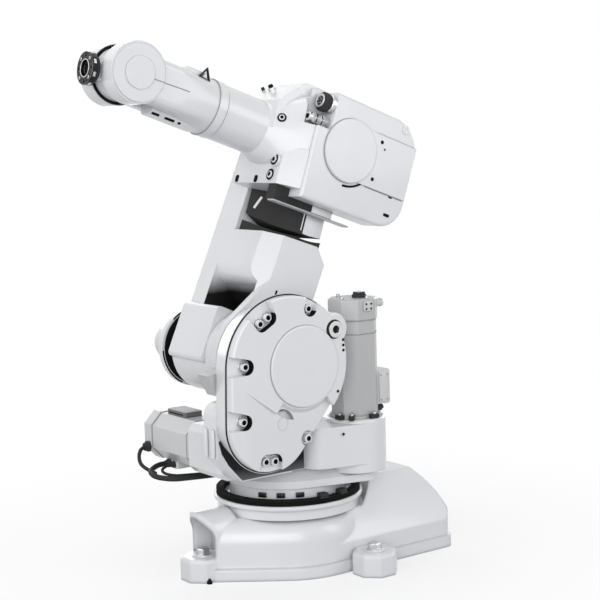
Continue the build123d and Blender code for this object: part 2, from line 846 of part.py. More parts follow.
def elbow_round_cover():
    disc = crosswise(round_cover_radius, housing_outer, housing_outer + round_cover_height)
    return elbow_frame * fillet(disc.edges().group_by(Axis.Y)[-1], round_cover_edge)


def elbow_cable_box():
    """Dark box under the elbow with a slanting front and a round underside, and the guard plate's carrier."""
    outline = polygon((cable_box_front_far, cable_box_far), (cable_box_front_near, arm_near_face),
                      (cable_box_rear, arm_near_face), (cable_box_rear, cable_box_far))
    solid = floor_plate(outline, -cable_box_radius, 0)
    solid &= crosswise(cable_box_radius, cable_box_far, arm_near_face)
    solid += block((guard_carrier_rear, guard_plate_front), (arm_near_face, guard_plate_near),
                   (-guard_plate_level, 0))
    return elbow_frame * (solid - elbow_solid() - elbow_housing_solid())


def elbow_guard_plate():
    plate = block((guard_plate_rear, guard_plate_front), (arm_near_face + moving_clearance, guard_plate_near),
                  (-guard_plate_level - guard_plate_thickness, -guard_plate_level))
    return elbow_frame * plate


def air_fitting():
    """Hexagonal fitting in front of the notch."""
    hexagon = extrude(Plane.YZ * RegularPolygon(fitting_across / 2, 6, major_radius=False), fitting_length,
                      dir=(1, 0, 0))
    return elbow_frame * Pos(notch_front, housing_outer - connector_inset, fitting_height) * hexagon


def signal_connector():
    socket = lengthwise(signal_radius, notch_front, notch_front + signal_length,
                        housing_outer - connector_inset, signal_height)
    return elbow_frame * fillet(socket.edges().group_by(Axis.X)[-1], box_edge)


# Forearm with its fork, and the wrist


def fork_body():
    """Round root that passes into the flat-sided fork."""
    ring_end = tube_end + turning_gap + fork_ring_length
    section = fillet(Rectangle(2 * hub_outer, 2 * fork_waist).vertices(), fork_edge)
    root = Pos(ring_end, 0, 0) * (Plane.YZ * Circle(tube_radius)).faces()[0]
    flat = Pos(fork_loft_end, 0, 0) * (Plane.YZ * section).faces()[0]
    straight = extrude(flat, forearm_length - fork_loft_end, dir=(1, 0, 0))
    return loft([root, flat]) + straight


def wrist_fork():
    start = tube_end + turning_gap
    solid = fork_body() + lengthwise(tube_radius + fork_ring_step, start, start + fork_ring_length)
    pad = block(fork_pad, (-fork_pad_half_width, fork_pad_half_width), (0, fork_pad_top))
    solid += fillet(pad.edges().group_by(Axis.Z)[-1] + pad.edges().filter_by(Axis.Z), fork_pad_edge)
    strip = block(fork_strip, (-fork_strip_half_width, fork_strip_half_width), (-fork_strip_bottom, 0))
    solid += chamfer(strip.edges().group_by(Axis.Z)[0], fork_strip_edge)
    solid += crosswise(hub_radius, -hub_outer, hub_outer, forearm_length)
    slot_start = forearm_length - slot_back
    slot = block((slot_start, forearm_length + 2 * hub_radius),
                 (-slot_half_width, slot_half_width), (-2 * hub_radius, 2 * hub_radius))
    solid -= slot
    for side in (-1, 1):
        face = side * slot_half_width
        ends = sorted((face, face + side * tilt_spigot_length))
        solid -= crosswise(tilt_spigot_radius + running_gap, *ends, forearm_length)
    solid += lengthwise(forearm_spigot_radius, tube_end - spigot_length + turning_gap, start)
    return elbow_frame * solid


def hub_cover(side):
    ends = sorted((side * hub_outer, side * (hub_outer + hub_cover_height)))
    return wrist_frame * crosswise(hub_cover_radius, *ends)


def hub_cap(side):
    low = hub_outer + hub_cover_height
    ends = sorted((side * low, side * (low + hub_cap_height)))
    return wrist_frame * crosswise(hub_cap_radius, *ends)


def tilt_housing():
    half = slot_half_width - tilt_side_gap
    solid = crosswise(tilt_radius, -half, half)
    solid += lengthwise(tilt_neck_radius, 0, tilt_neck_end)
    reach = slot_half_width + tilt_spigot_length - turning_gap
    solid += crosswise(tilt_spigot_radius, -reach, reach)
    bore = lengthwise(flange_spigot_radius + running_gap, tilt_neck_end - flange_spigot_length, tilt_neck_end)
    return tool_frame * (solid - bore)


def tool_flange():
    start = tilt_neck_end + turning_gap
    solid = lengthwise(flange_radius, start, tool_length)
    solid += lengthwise(flange_spigot_radius, start - flange_spigot_length + turning_gap, start)
    solid -= lengthwise(flange_bore, tool_length - flange_bore_depth, tool_length)
    for hole in PolarLocations(flange_hole_circle, flange_hole_count):
        y, z = hole.position.X, hole.position.Y
        solid -= lengthwise(flange_hole / 2, tool_length - flange_hole_depth, tool_length, y, z)
    return tool_frame * solid


parts = {
    "base_casting": base_casting(),
    "base_collar": base_collar(),
    "cable_guide_ring": cable_guide_ring(),
    "turntable": turntable(),
    "frame_casting": frame_casting(),
    "gear_cover": gear_cover(),
    "gear_cover_disc": gear_cover_disc(),
    "oil_plug": oil_plug(),
    "stop_bracket": stop_bracket(),
    "motor_1_body": motor_1_body(),
    "motor_1_cap": motor_1_cap(),
    "motor_1_connector": motor_1_connector(),
    "motor_1_terminal_box": motor_1_terminal_box(),
    "motor_1_gland": motor_1_gland(),
    "motor_2_adapter": motor_2_adapter(),
    "motor_2_body": motor_2_body(),
    "motor_2_end_cap": motor_2_end_cap(),
    "motor_2_connector_box": motor_2_connector_box(),
    "motor_2_cable_outlet": motor_2_cable_outlet(),
    "motor_2_power_cable": cable(power_cable_route, power_cable_radius),
    "motor_2_signal_cable": cable(signal_cable_route, signal_cable_radius),
    "lower_arm_casting": lower_arm_casting(),
    "shoulder_gasket": shoulder_gasket(),
    "shoulder_disc": shoulder_disc(),
    "shoulder_cap": shoulder_cap(),
    "inner_cover": inner_cover(),
    "elbow_casting": elbow_casting(),
    "elbow_housing": elbow_housing(),
    "elbow_band": elbow_band(),
    "elbow_round_cover": elbow_round_cover(),
    "elbow_cable_box": elbow_cable_box(),
    "elbow_guard_plate": elbow_guard_plate(),
    "air_fitting": air_fitting(),
    "signal_connector": signal_connector(),
    "wrist_fork": wrist_fork(),
    "hub_cover_left": hub_cover(1),
    "hub_cover_right": hub_cover(-1),
    "hub_cap_left": hub_cap(1),
    "hub_cap_right": hub_cap(-1),
    "tilt_housing": tilt_housing(),
    "tool_flange": tool_flange(),
}

os.makedirs("parts", exist_ok=True)
for name, shape in parts.items():
    export_step(shape, f"parts/{name}.step")
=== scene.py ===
import json
import math

import bmesh
import bpy
from mathutils import Matrix, Vector


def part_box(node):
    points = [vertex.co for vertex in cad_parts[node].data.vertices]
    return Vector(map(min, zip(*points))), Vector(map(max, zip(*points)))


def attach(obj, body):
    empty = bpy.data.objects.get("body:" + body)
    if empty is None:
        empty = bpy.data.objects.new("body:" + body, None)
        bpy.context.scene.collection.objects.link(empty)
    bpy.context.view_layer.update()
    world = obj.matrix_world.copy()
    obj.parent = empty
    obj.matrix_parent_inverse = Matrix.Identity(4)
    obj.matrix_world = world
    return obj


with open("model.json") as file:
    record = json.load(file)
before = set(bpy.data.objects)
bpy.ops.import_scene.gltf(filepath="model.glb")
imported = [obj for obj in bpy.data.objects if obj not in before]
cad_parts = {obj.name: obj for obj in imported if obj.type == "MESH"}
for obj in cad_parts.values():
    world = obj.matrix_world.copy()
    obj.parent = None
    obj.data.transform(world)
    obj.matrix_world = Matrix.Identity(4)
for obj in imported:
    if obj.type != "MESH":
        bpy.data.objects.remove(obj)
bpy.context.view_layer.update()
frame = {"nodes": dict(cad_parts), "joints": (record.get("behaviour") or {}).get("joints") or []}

# Places are in millimetres in the frame of the link that carries a piece: X forward, Y left, Z up.
mm = 0.001
left = Vector((0, 1, 0))
right = Vector((0, -1, 0))
forward = Vector((1, 0, 0))
back = Vector((-1, 0, 0))
up = Vector((0, 0, 1))
segments = 36  # round a small turned piece
wide_segments = 120  # round a large ring
sharp_angle = math.radians(32)  # edges beyond it aren't smoothed


# Frames of the links, from the joints of the model

joints = {joint["name"]: joint for joint in frame["joints"]}


def joint_place(name):
    return Vector(joints[name]["pos_m"])


def link_frame(origin, along):
    """Frame with its X axis along a direction and its Y axis to the arm's left."""
    x_axis = along.normalized()
    matrix = Matrix((x_axis, left, x_axis.cross(left))).transposed().to_4x4()
    matrix.translation = origin
    return matrix


shoulder = joint_place("axis_2_arm")
elbow = joint_place("axis_3_arm")
wrist = joint_place("axis_5_bend")
world_frame = Matrix.Identity(4)
shoulder_frame = link_frame(shoulder, forward)
lower_frame = link_frame(shoulder, left.cross(elbow - shoulder))
elbow_frame = link_frame(elbow, wrist - elbow)
tool_frame = link_frame(wrist, Vector(joints["axis_6_turn"]["axis"]))


def low(node, axis):
    """Lowest coordinate of a node along an axis, in millimetres."""
    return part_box(node)[0][axis] / mm


def high(node, axis):
    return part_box(node)[1][axis] / mm


def middle(node, axis):
    return (low(node, axis) + high(node, axis)) / 2


def node_point(node, *sides):
    """Point of a node's box, from low, middle or high for each axis."""
    return Vector([side(node, axis) for axis, side in enumerate(sides)])


# Node graphs of the finishes: scales in cells for each metre, lengths in metres

cloud_scale = 7.0
gloss_scale = 24.0
smear_scale = 30.0
wave_scale = 45.0
stain_scale = 55.0
patch_scale = 60.0
speckle_scale = 400.0
peel_scale = 520.0
# Reach of the darkening in corners, partly dust and partly painted shade
dust_and_shade_reach = 0.009
wave_height = 0.00035
wave_strength = 0.2
peel_height = 0.00005
drift_height = 0.004
moulded_edge = 0.0008
metal_edge = 0.0005
metal_wear = 0.0007
tool_mark_height = 0.00002
ray_samples = 6


def feed(tree, node, *values):
    """Gives a node its inputs, as pairs of a socket and a value or an output."""
    for socket, value in values:
        if isinstance(value, bpy.types.NodeSocket):
            tree.links.new(value, node.inputs[socket])
        else:
            node.inputs[socket].default_value = value


def add(tree, kind, values=(), **settings):
    """New node with its inputs and settings."""
    made = tree.nodes.new(kind)
    for key, value in settings.items():
        setattr(made, key, value)
    feed(tree, made, *values)
    return made


def start_material(name):
    made = bpy.data.materials.new(name)
    made.use_nodes = True
    tree = made.node_tree
    return made, tree, tree.nodes["Principled BSDF"]


def object_coordinates(tree):
    return add(tree, "ShaderNodeTexCoord").outputs["Object"]


def noise(tree, coordinates, scale, detail=2.0, roughness=0.5):
    values = (("Vector", coordinates), ("Scale", scale), ("Detail", detail), ("Roughness", roughness))
    return add(tree, "ShaderNodeTexNoise", values).outputs["Fac"]


def ranged(tree, value, start, end, from_low=0.0, from_high=1.0):
    values = (("Value", value), ("From Min", from_low), ("From Max", from_high),
              ("To Min", start), ("To Max", end))
    return add(tree, "ShaderNodeMapRange", values).outputs["Result"]


def mixed(tree, factor, first, second):
    """Colour between two colours, given as values or outputs."""
    return add(tree, "ShaderNodeMix", ((0, factor), (6, first), (7, second)), data_type="RGBA").outputs[2]


def reckoned(tree, operation, first, second):
    return add(tree, "ShaderNodeMath", ((0, first), (1, second)), operation=operation).outputs[0]


def bump(tree, height, distance, normal=None, strength=1.0):
    values = [("Height", height), ("Distance", distance), ("Strength", strength)]
    if normal is not None:
        values.append(("Normal", normal))
    return add(tree, "ShaderNodeBump", values).outputs["Normal"]


def soft_edges(tree, radius):
    """Normal that rounds the edges of a casting by a small radius."""
    return add(tree, "ShaderNodeBevel", (("Radius", radius),), samples=ray_samples).outputs["Normal"]


def crevices(tree, distance):
    """One in tight corners and nought on open faces."""
    shade = add(tree, "ShaderNodeAmbientOcclusion", (("Distance", distance),), samples=ray_samples)
    return ranged(tree, shade.outputs["AO"], 1.0, 0.0, from_low=0.25, from_high=0.85)


def edge_wear(tree, radius):
    """One along sharp edges, where the rounded normal leaves the flat one."""
    flat = add(tree, "ShaderNodeNewGeometry").outputs["Normal"]
    round_normal = soft_edges(tree, radius)
    match = add(tree, "ShaderNodeVectorMath", ((0, flat), (1, round_normal)), operation="DOT_PRODUCT")
    return ranged(tree, match.outputs["Value"], 1.0, 0.0, from_low=0.86, from_high=0.99)


def painted(name, light, shade, dust_and_shade, roughness=(0.28, 0.34), coat=0.3, edge=0.0016, peel=peel_height):
    """Sprayed paint on a casting: orange peel, slow waves of the casting, dust and painted shade in the
    corners.
    """
    made, tree, shader = start_material(name)
    place = object_coordinates(tree)
    cloud = noise(tree, place, cloud_scale, detail=4.0, roughness=0.6)
    colour = mixed(tree, ranged(tree, cloud, 0.0, 1.0, from_low=0.3, from_high=0.7), light, shade)
    patches = ranged(tree, noise(tree, place, patch_scale, detail=3.0, roughness=0.7), 0.25, 0.8)
    # Darker in tight corners, in patches: partly dust, partly painted shade
    dust_and_shade_mask = reckoned(tree, "MULTIPLY", crevices(tree, dust_and_shade_reach), patches)
    gloss = noise(tree, place, gloss_scale, detail=3.0)
    gloss = ranged(tree, gloss, *roughness, from_low=0.3, from_high=0.7)
    swell = noise(tree, place, wave_scale, detail=1.0)
    waves = bump(tree, swell, wave_height, soft_edges(tree, edge), wave_strength)
    skin = bump(tree, noise(tree, place, peel_scale), peel, waves)
    feed(tree, shader, ("Base Color", mixed(tree, dust_and_shade_mask, colour, dust_and_shade)), ("Roughness", gloss),
         ("Normal", skin), ("Coat Weight", coat), ("Coat Roughness", 0.08))
    return made


def moulded(name, light, shade, roughness=(0.55, 0.75), grain=1300.0, depth=0.00006, sheen=0.2):
    """Dark moulded plastic with a fine leathery grain and rubbed edges."""
    made, tree, shader = start_material(name)
    place = object_coordinates(tree)
    cells = add(tree, "ShaderNodeTexVoronoi", (("Vector", place), ("Scale", grain))).outputs["Distance"]
    smears = noise(tree, place, smear_scale, detail=4.0, roughness=0.65)
    smears = ranged(tree, smears, 0.0, 1.0, from_low=0.35, from_high=0.7)
    rubbed = ranged(tree, edge_wear(tree, moulded_edge), 0.0, 0.5)
    colour = mixed(tree, smears, light, shade)
    pale = tuple(0.5 * channel + 0.12 for channel in light[:3]) + (1.0,)
    leather = bump(tree, cells, depth, soft_edges(tree, moulded_edge))
    feed(tree, shader, ("Base Color", mixed(tree, rubbed, colour, pale)), ("Normal", leather),
         ("Roughness", ranged(tree, smears, *roughness)), ("Specular IOR Level", sheen))
    return made


def shaded_paint(name, light, dark, start, end):
    """Painted shade: paint that passes from the first colour above into the second below, between two
    heights in metres.
    """
    made, tree, shader = start_material(name)
    place = object_coordinates(tree)
    height = add(tree, "ShaderNodeSeparateXYZ", (("Vector", place),)).outputs["Z"]
    drift = ranged(tree, noise(tree, place, smear_scale, detail=3.0), -drift_height, drift_height)
    coat = ranged(tree, reckoned(tree, "ADD", height, drift), 0.0, 1.0, from_low=start, from_high=end)
    speckle = bump(tree, noise(tree, place, speckle_scale), peel_height)
    feed(tree, shader, ("Base Color", mixed(tree, coat, dark, light)), ("Normal", speckle),
         ("Roughness", 0.6), ("Specular IOR Level", 0.2))
    return made


def metal(name, light, shade, worn, roughness=(0.22, 0.42), streak=(40.0, 40.0, 900.0)):
    """Machined metal with fine tool marks, stains and bright edges."""
    made, tree, shader = start_material(name)
    place = object_coordinates(tree)
    stretched = add(tree, "ShaderNodeMapping", (("Vector", place), ("Scale", streak))).outputs["Vector"]
    marks = noise(tree, stretched, 1.0, detail=3.0, roughness=0.6)
    stains = noise(tree, place, stain_scale, detail=4.0, roughness=0.7)
    colour = mixed(tree, ranged(tree, stains, 0.0, 1.0, from_low=0.35, from_high=0.7), light, shade)
    tooling = bump(tree, marks, tool_mark_height, soft_edges(tree, metal_edge))
    feed(tree, shader, ("Base Color", mixed(tree, edge_wear(tree, metal_wear), colour, worn)),
         ("Normal", tooling), ("Roughness", ranged(tree, marks, *roughness)), ("Metallic", 1.0))
    return made


white = (0.74, 0.75, 0.77, 1)
white_shade = (0.71, 0.72, 0.74, 1)
# Colour that corners of white enamel darken to: dust and painted shade
white_dust_and_shade = (0.30, 0.30, 0.31, 1)
black = (0.006, 0.006, 0.006, 1)
finish = {
    "white_paint": painted("white_enamel", white, white_shade, white_dust_and_shade),
    "grey_paint": painted("light_grey_enamel", (0.62, 0.625, 0.63, 1), (0.59, 0.595, 0.60, 1),
                          (0.20, 0.20, 0.21, 1), (0.36, 0.44), coat=0.15, edge=0.0012, peel=0.00007),
    "dark_grey_paint": painted("motor_grey_enamel", (0.48, 0.485, 0.49, 1), (0.45, 0.455, 0.46, 1),
                               (0.13, 0.13, 0.135, 1), (0.36, 0.46), coat=0.12, edge=0.0012, peel=0.00007),
    "black_plastic": moulded("black_moulding", (0.022, 0.022, 0.023, 1), (0.035, 0.035, 0.036, 1)),
    "cable_rubber": moulded("cable_sheath", (0.016, 0.016, 0.017, 1), (0.028, 0.028, 0.029, 1),
                            (0.45, 0.6), grain=900.0),
    "steel": metal("zinc_plated_steel", (0.62, 0.62, 0.63, 1), (0.46, 0.46, 0.48, 1),
                   (0.80, 0.80, 0.81, 1)),
    "dark_metal": metal("blackened_steel", (0.020, 0.020, 0.021, 1), (0.040, 0.040, 0.042, 1),
                        (0.30, 0.30, 0.31, 1), (0.30, 0.46)),
}

# Finishes of single places
# Black moulding: black seals, gaskets and other black parts, and painted shade in sockets, bores, slots,
# gaps and recesses
finish["recess"] = moulded("black_parts_and_painted_shade", black, (0.012, 0.012, 0.012, 1), (0.7, 0.9), sheen=0.05)
# Grey seam lines at joints, and painted shade on the wall of the gear cover's hollow
finish["seam"] = moulded("grey_seam_lines_and_painted_shade", (0.30, 0.30, 0.31, 1), (0.38, 0.38, 0.39, 1), (0.6, 0.8))
# Painted shade: white passing into black towards the bottom of the lower arm's open pocket
finish["pocket_shade"] = shaded_paint("pocket_shade", white_shade, black, 0.450, 0.484)
# Painted shadow: black under the gear housing, passing into dark grey lower down
finish["housing_shade"] = shaded_paint("housing_shade", black, (0.16, 0.16, 0.165, 1), 0.168, 0.192)
finish["cast_base"] = painted("base_enamel", white, white_shade, white_dust_and_shade, edge=0.007)
finish["box_grey"] = painted("box_grey_enamel", (0.11, 0.11, 0.115, 1), (0.13, 0.13, 0.135, 1),
                             (0.05, 0.05, 0.052, 1), (0.40, 0.52), coat=0.1, edge=0.001)

# Nodes of the model that show another finish than that of their slot
own_finish = {"base_casting": "cast_base", "cable_guide_ring": "recess", "motor_1_cap": "dark_grey_paint",
              "stop_bracket": "dark_grey_paint", "motor_2_connector_box": "box_grey"}

for name, node in frame["nodes"].items():
    for slot in node.material_slots:
        slot.material = finish[own_finish.get(name, slot.material.name)]


# Mesh building: each shape is its points, its faces and the material index of each face


def spot(base, point, facing, spin=0.0):
    """Placing matrix at a point of a frame, with its Z axis turned to face a direction."""
    turn = Vector(facing).to_track_quat("Z", "Y").to_matrix().to_4x4()
    return base @ Matrix.Translation(Vector(point) * mm) @ turn @ Matrix.Rotation(spin, 4, "Z")


def hexagon(across):
    """Radius of a hexagon at each angle."""
    sector = math.radians(60)
    return lambda angle: across / 2 / math.cos(angle % sector - sector / 2)


def knurled(radius, depth, teeth):
    """Radius of a knurled nut at each angle."""
    return lambda angle: radius - depth * (0.5 + 0.5 * math.cos(teeth * angle))


def joined(loops, closed=False):
    """Shape through loops of points, with end faces unless the last loop joins the first."""
    points = [point * mm for loop in loops for point in loop]
    size = len(loops[0])
    faces = []
    for index in range(len(loops) if closed else len(loops) - 1):
        near = index * size
        far = (index + 1) % len(loops) * size
        for corner in range(size):
            following = (corner + 1) % size
            faces.append((near + corner, near + following, far + following, far + corner))
    if not closed:
        faces.append(tuple(reversed(range(size))))
        faces.append(tuple(range(len(points) - size, len(points))))
    return points, faces, [0] * len(faces)


def stack(rings, count=segments, dark_from=None, closed=False):
    """Solid through rings, each a radius, or a radius by angle, and a height.

    From the ring with the index dark_from on, the faces take the second material, the black one: painted
    shade in sockets and bores, and black parts.
    """
    loops = []
    for outline, height in rings:
        loop = []
        for step in range(count):
            angle = math.tau * step / count
            radius = outline(angle) if callable(outline) else outline
            loop.append(Vector((radius * math.cos(angle), radius * math.sin(angle), height)))
        loops.append(loop)
    points, faces, shades = joined(loops, closed)
    if dark_from is not None:
        lower_end = len(faces) - 2
        shades = [int(face >= dark_from * count and face != lower_end) for face in range(len(faces))]
    return points, faces, shades


def mesh_shape(work):
    """Shape from a working mesh, which is then freed."""
    work.verts.index_update()
    points = [corner.co.copy() for corner in work.verts]
    faces = [tuple(corner.index for corner in face.verts) for face in work.faces]
    work.free()
    return points, faces, [0] * len(faces)


def box(size, edge):
    """Box centred in X and Y and standing on Z = 0, with rounded edges."""
    work = bmesh.new()
    bmesh.ops.create_cube(work, size=1.0)
    for corner in work.verts:
        x, y, z = corner.co
        corner.co = Vector((x * size[0], y * size[1], (z + 0.5) * size[2])) * mm
    bmesh.ops.bevel(work, geom=work.edges[:], offset=edge * mm, segments=2, profile=0.5, affect="EDGES")
    return mesh_shape(work)


def slab(outline, height, edge=0.2):
    """Plate over a flat outline in X and Y, standing on Z = 0, with a bevelled top edge."""
    work = bmesh.new()
    bottom = [work.verts.new(Vector((x, y, 0)) * mm) for x, y in outline]
    face = work.faces.new(bottom)
    lifted = bmesh.ops.extrude_face_region(work, geom=[face])["geom"]
    top = [item for item in lifted if isinstance(item, bmesh.types.BMVert)]
    bmesh.ops.translate(work, verts=top, vec=(0, 0, height * mm))
    bmesh.ops.recalc_face_normals(work, faces=work.faces[:])
    rim = [line for line in work.edges if all(corner in top for corner in line.verts)]
    bmesh.ops.bevel(work, geom=rim, offset=edge * mm, segments=2, profile=0.5, affect="EDGES")
    return mesh_shape(work)


def bead(path, facing, width, height, closed=False):
    """Low bar with bevelled edges along a path of points, standing up towards one direction."""
    path = [Vector(point) for point in path]
    facing = Vector(facing).normalized()
    edge = min(width, height) / 4
    profile = ((width / 2, 0), (width / 2, height - edge), (width / 2 - edge, height),
               (edge - width / 2, height), (-width / 2, height - edge), (-width / 2, 0))
    count = len(path)
    loops = []
    for step, point in enumerate(path):
        before = path[step - 1] if closed or step > 0 else point
        after = path[(step + 1) % count] if closed or step < count - 1 else point
        side = facing.cross(after - before).normalized()
        loops.append([point + side * across + facing * rise for across, rise in profile])
    return joined(loops, closed)


def smooth_path(points, steps=8):
    """Points of a curve that runs through the points given."""
    points = [Vector(point) for point in points]
    ends = [points[0] * 2 - points[1]] + points + [points[-1] * 2 - points[-2]]
    path = []
    for a, b, c, d in zip(ends, ends[1:], ends[2:], ends[3:]):
        for step in range(steps):
            t = step / steps
            path.append(((b * 2) + (c - a) * t + (a * 2 - b * 5 + c * 4 - d) * t * t
                         + (b * 3 - a - c * 3 + d) * t * t * t) / 2)
    return path + [points[-1]]


def hose(path, radius, count=14):
    """Round cable along a path."""
    loops = []
    side = (path[1] - path[0]).orthogonal().normalized()
    turns = [math.tau * turn / count for turn in range(count)]
    for step, point in enumerate(path):
        along = (path[min(step + 1, len(path) - 1)] - path[max(step - 1, 0)]).normalized()
        side = (side - along * side.dot(along)).normalized()
        other = along.cross(side)
        loops.append([point + (side * math.cos(turn) + other * math.sin(turn)) * radius for turn in turns])
    return joined(loops)


def arc(centre, radius, start, end, y, steps=24):
    """Points of an arc in X and Z at one Y, between two angles in degrees from X towards Z."""
    points = []
    for step in range(steps + 1):
        angle = math.radians(start + (end - start) * step / steps)
        points.append(Vector((centre[0] + radius * math.cos(angle), y,
                              centre[1] + radius * math.sin(angle))))
    return points


def rounded(width, length, corner, steps=6):
    """Outline of a rectangle with round corners."""
    outline = []
    for turn, (x, y) in enumerate(((1, 1), (-1, 1), (-1, -1), (1, -1))):
        centre = Vector((x * (width / 2 - corner), y * (length / 2 - corner)))
        for step in range(steps + 1):
            angle = math.radians(90 * (turn + step / steps))
            outline.append((centre.x + corner * math.cos(angle), centre.y + corner * math.sin(angle)))
    return outline


def across_x(angle):
    """Direction square to the X axis, at an angle from Y towards Z."""
    return Vector((0, math.cos(angle), math.sin(angle)))


def facing_left(outline):
    """Outline in X and Z for a slab that faces left, whose own X axis runs backwards."""
    return [(-x, z) for x, z in outline]


def piece(name, body, slot, placed):
    """One object from shapes and their placing matrices, riding on a body."""
    points = []
    faces = []
    shades = []
    for (shape_points, shape_faces, shape_shades), matrix in placed:
        start = len(points)
        points += [matrix @ point for point in shape_points]
        faces += [tuple(start + index for index in face) for face in shape_faces]
        shades += shape_shades
    mesh = bpy.data.meshes.new(name)
    mesh.from_pydata(points, [], faces)
    # The second material is the black one: painted shade in sockets and bores, and black parts
    for finish_name in (slot, "recess"):
        mesh.materials.append(finish[finish_name])
    for polygon, shade in zip(mesh.polygons, shades):
        polygon.material_index = shade
        polygon.use_smooth = True
    mesh.set_sharp_from_angle(angle=sharp_angle)
    made = bpy.data.objects.new(name, mesh)
    bpy.context.collection.objects.link(made)
    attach(made, body)


def setter(body, base):
    """Function that makes a piece from one shape in a frame, or from copies at places, facing one way."""
    def put(name, slot, shape, places=(), facing=up):
        placed = [(shape, spot(base, place, facing)) for place in places]
        piece(name, body, slot, placed or [(shape, base)])
    return put


on_shoulder = setter("frame", shoulder_frame)
on_frame = setter("frame", world_frame)
on_base = setter("base", world_frame)
on_arm = setter("lower_arm", lower_frame)
on_elbow = setter("elbow", elbow_frame)
on_forearm = setter("forearm", elbow_frame)
on_tilt = setter("wrist_tilt", tool_frame)
on_flange = setter("flange", tool_frame)


# Fasteners and rings


def socket_screw(radius, height):
    """Cap screw with a hexagon socket, painted black inside as shade."""
    chamfer = radius * 0.14
    mouth = radius * 0.62
    socket = hexagon(radius)
    socket_floor = height * 0.35
    return stack([(radius, 0), (radius, height - chamfer), (radius - chamfer, height), (mouth, height),
                  (socket, height - chamfer / 2), (socket, socket_floor)], dark_from=3)


def hex_bolt(across, height, washer):
    """Hexagon head on a round washer."""
    head = hexagon(across)
    crown = across * 0.46
    return stack([(washer, 0), (washer, 2.2), (washer - 0.6, 2.8), (across / 2, 2.8), (head, 3.0),
                  (head, height - 1.5), (crown, height), (crown * 0.6, height + 0.3)])


def ring(inner, outer, height, edge=0.2):
    """Flat ring standing on Z = 0 with bevelled edges."""
    return stack([(inner, 0), (outer, 0), (outer, height - edge), (outer - edge, height),
                  (inner + edge, height), (inner, height - edge)], wide_segments, closed=True)


def cord_ring(radius, thickness):
    """Round ring, as of cord or of a seal."""
    turns = 10
    rings = []
    for step in range(turns):
        angle = -math.tau * step / turns
        rings.append((radius - thickness / 2 * math.cos(angle), thickness / 2 * math.sin(angle)))
    return stack(rings, wide_segments, closed=True)


# Linings: thin dark sheets on the walls of a recess, as painted shade
sheet = 0.6
sheet_edge = 0.1


# Gear cover: screws in their pockets, whose inner walls carry painted shade, gasket, oil plug, marks on the
# face

upper_lobe = Vector((25.0, 0, 3.0))
upper_lobe_radius = 109.0
lower_lobe = Vector((60.0, 0, -82.0))
lower_lobe_radius = 77.0
single_screws = (((106, 10), upper_lobe), ((-15, 88), upper_lobe),
                 ((112, -74), lower_lobe), ((-8, -116), lower_lobe))
double_screws = (((69, 77), upper_lobe), ((65, -142), lower_lobe))
grub_screws = ((-77, 33.5), (-77, 25), (-77, 17), (-64, -47.5))
screw_pitch = 17.0
cover_screw_radius = 6.5
cover_screw_height = 8.0
washer_gap = 0.4
washer_reach = 2.8
cover_foot = low("gear_cover", 1)
cover_face = high("gear_cover", 1)
pocket_radius = 12.0
pocket_floor = cover_foot + 3.5
lining_gap = 0.3
lining_turn = 95.0  # degrees of a pocket's wall to each side of its inner end
gasket_width = 1.8
gasket_height = 1.4
hollow_floor = cover_foot + 5.0
hollow_wall = ((54, -66), (33, -65), (19, -82))
recess_wall = 91.0
# Outline of the painted shadow on the frame's wall under the gear housing
housing_shadow_outline = ((81, -179), (105, -152), (117, -132), (122.5, -112), (100, -100),
                  (-39, -120), (-39, -178))
blank_x = 40.0
blank_z = -86.0
oil_plug_x = -60.0
oil_plug_z = 52.0
oil_plug_depth = 2.5
fall_start = 111.0  # the lower half of the face falls away behind this place
fall_slope = 0.0702


def cover_level(x, lobe):
    """Height of the cover's face beside a pocket."""
    if lobe is upper_lobe:
        return cover_face
    return cover_face - max(0.0, fall_start - x) * fall_slope


def pocket_shadow_lining(place, lobe, pitch):
    """Painted shade: dark lining of the inner wall of a pocket."""
    seat = Vector((place[0], 0, place[1]))
    out = (seat - lobe).normalized()
    step = out.cross(left) * pitch / 2
    inner_end = math.degrees(math.atan2(out.z, out.x)) + 180
    radius = pocket_radius - lining_gap
    path = []
    for centre, start in ((seat + step, inner_end - lining_turn), (seat - step, inner_end)):
        path += arc((centre.x, centre.z), radius, start, start + lining_turn, pocket_floor)
    return bead(path, left, 2 * lining_gap, cover_level(place[0], lobe) - pocket_floor - lining_gap)


def hull_path(first, first_radius, second, second_radius, y):
    """Outline round two circles in X and Z."""
    between = second - first
    heading = math.degrees(math.atan2(between.z, between.x))
    lean = math.degrees(math.acos((first_radius - second_radius) / between.length))
    return (arc((first.x, first.z), first_radius, heading + lean, heading + 360 - lean, y, 60)
            + arc((second.x, second.z), second_radius, heading - lean, heading + lean, y, 60))


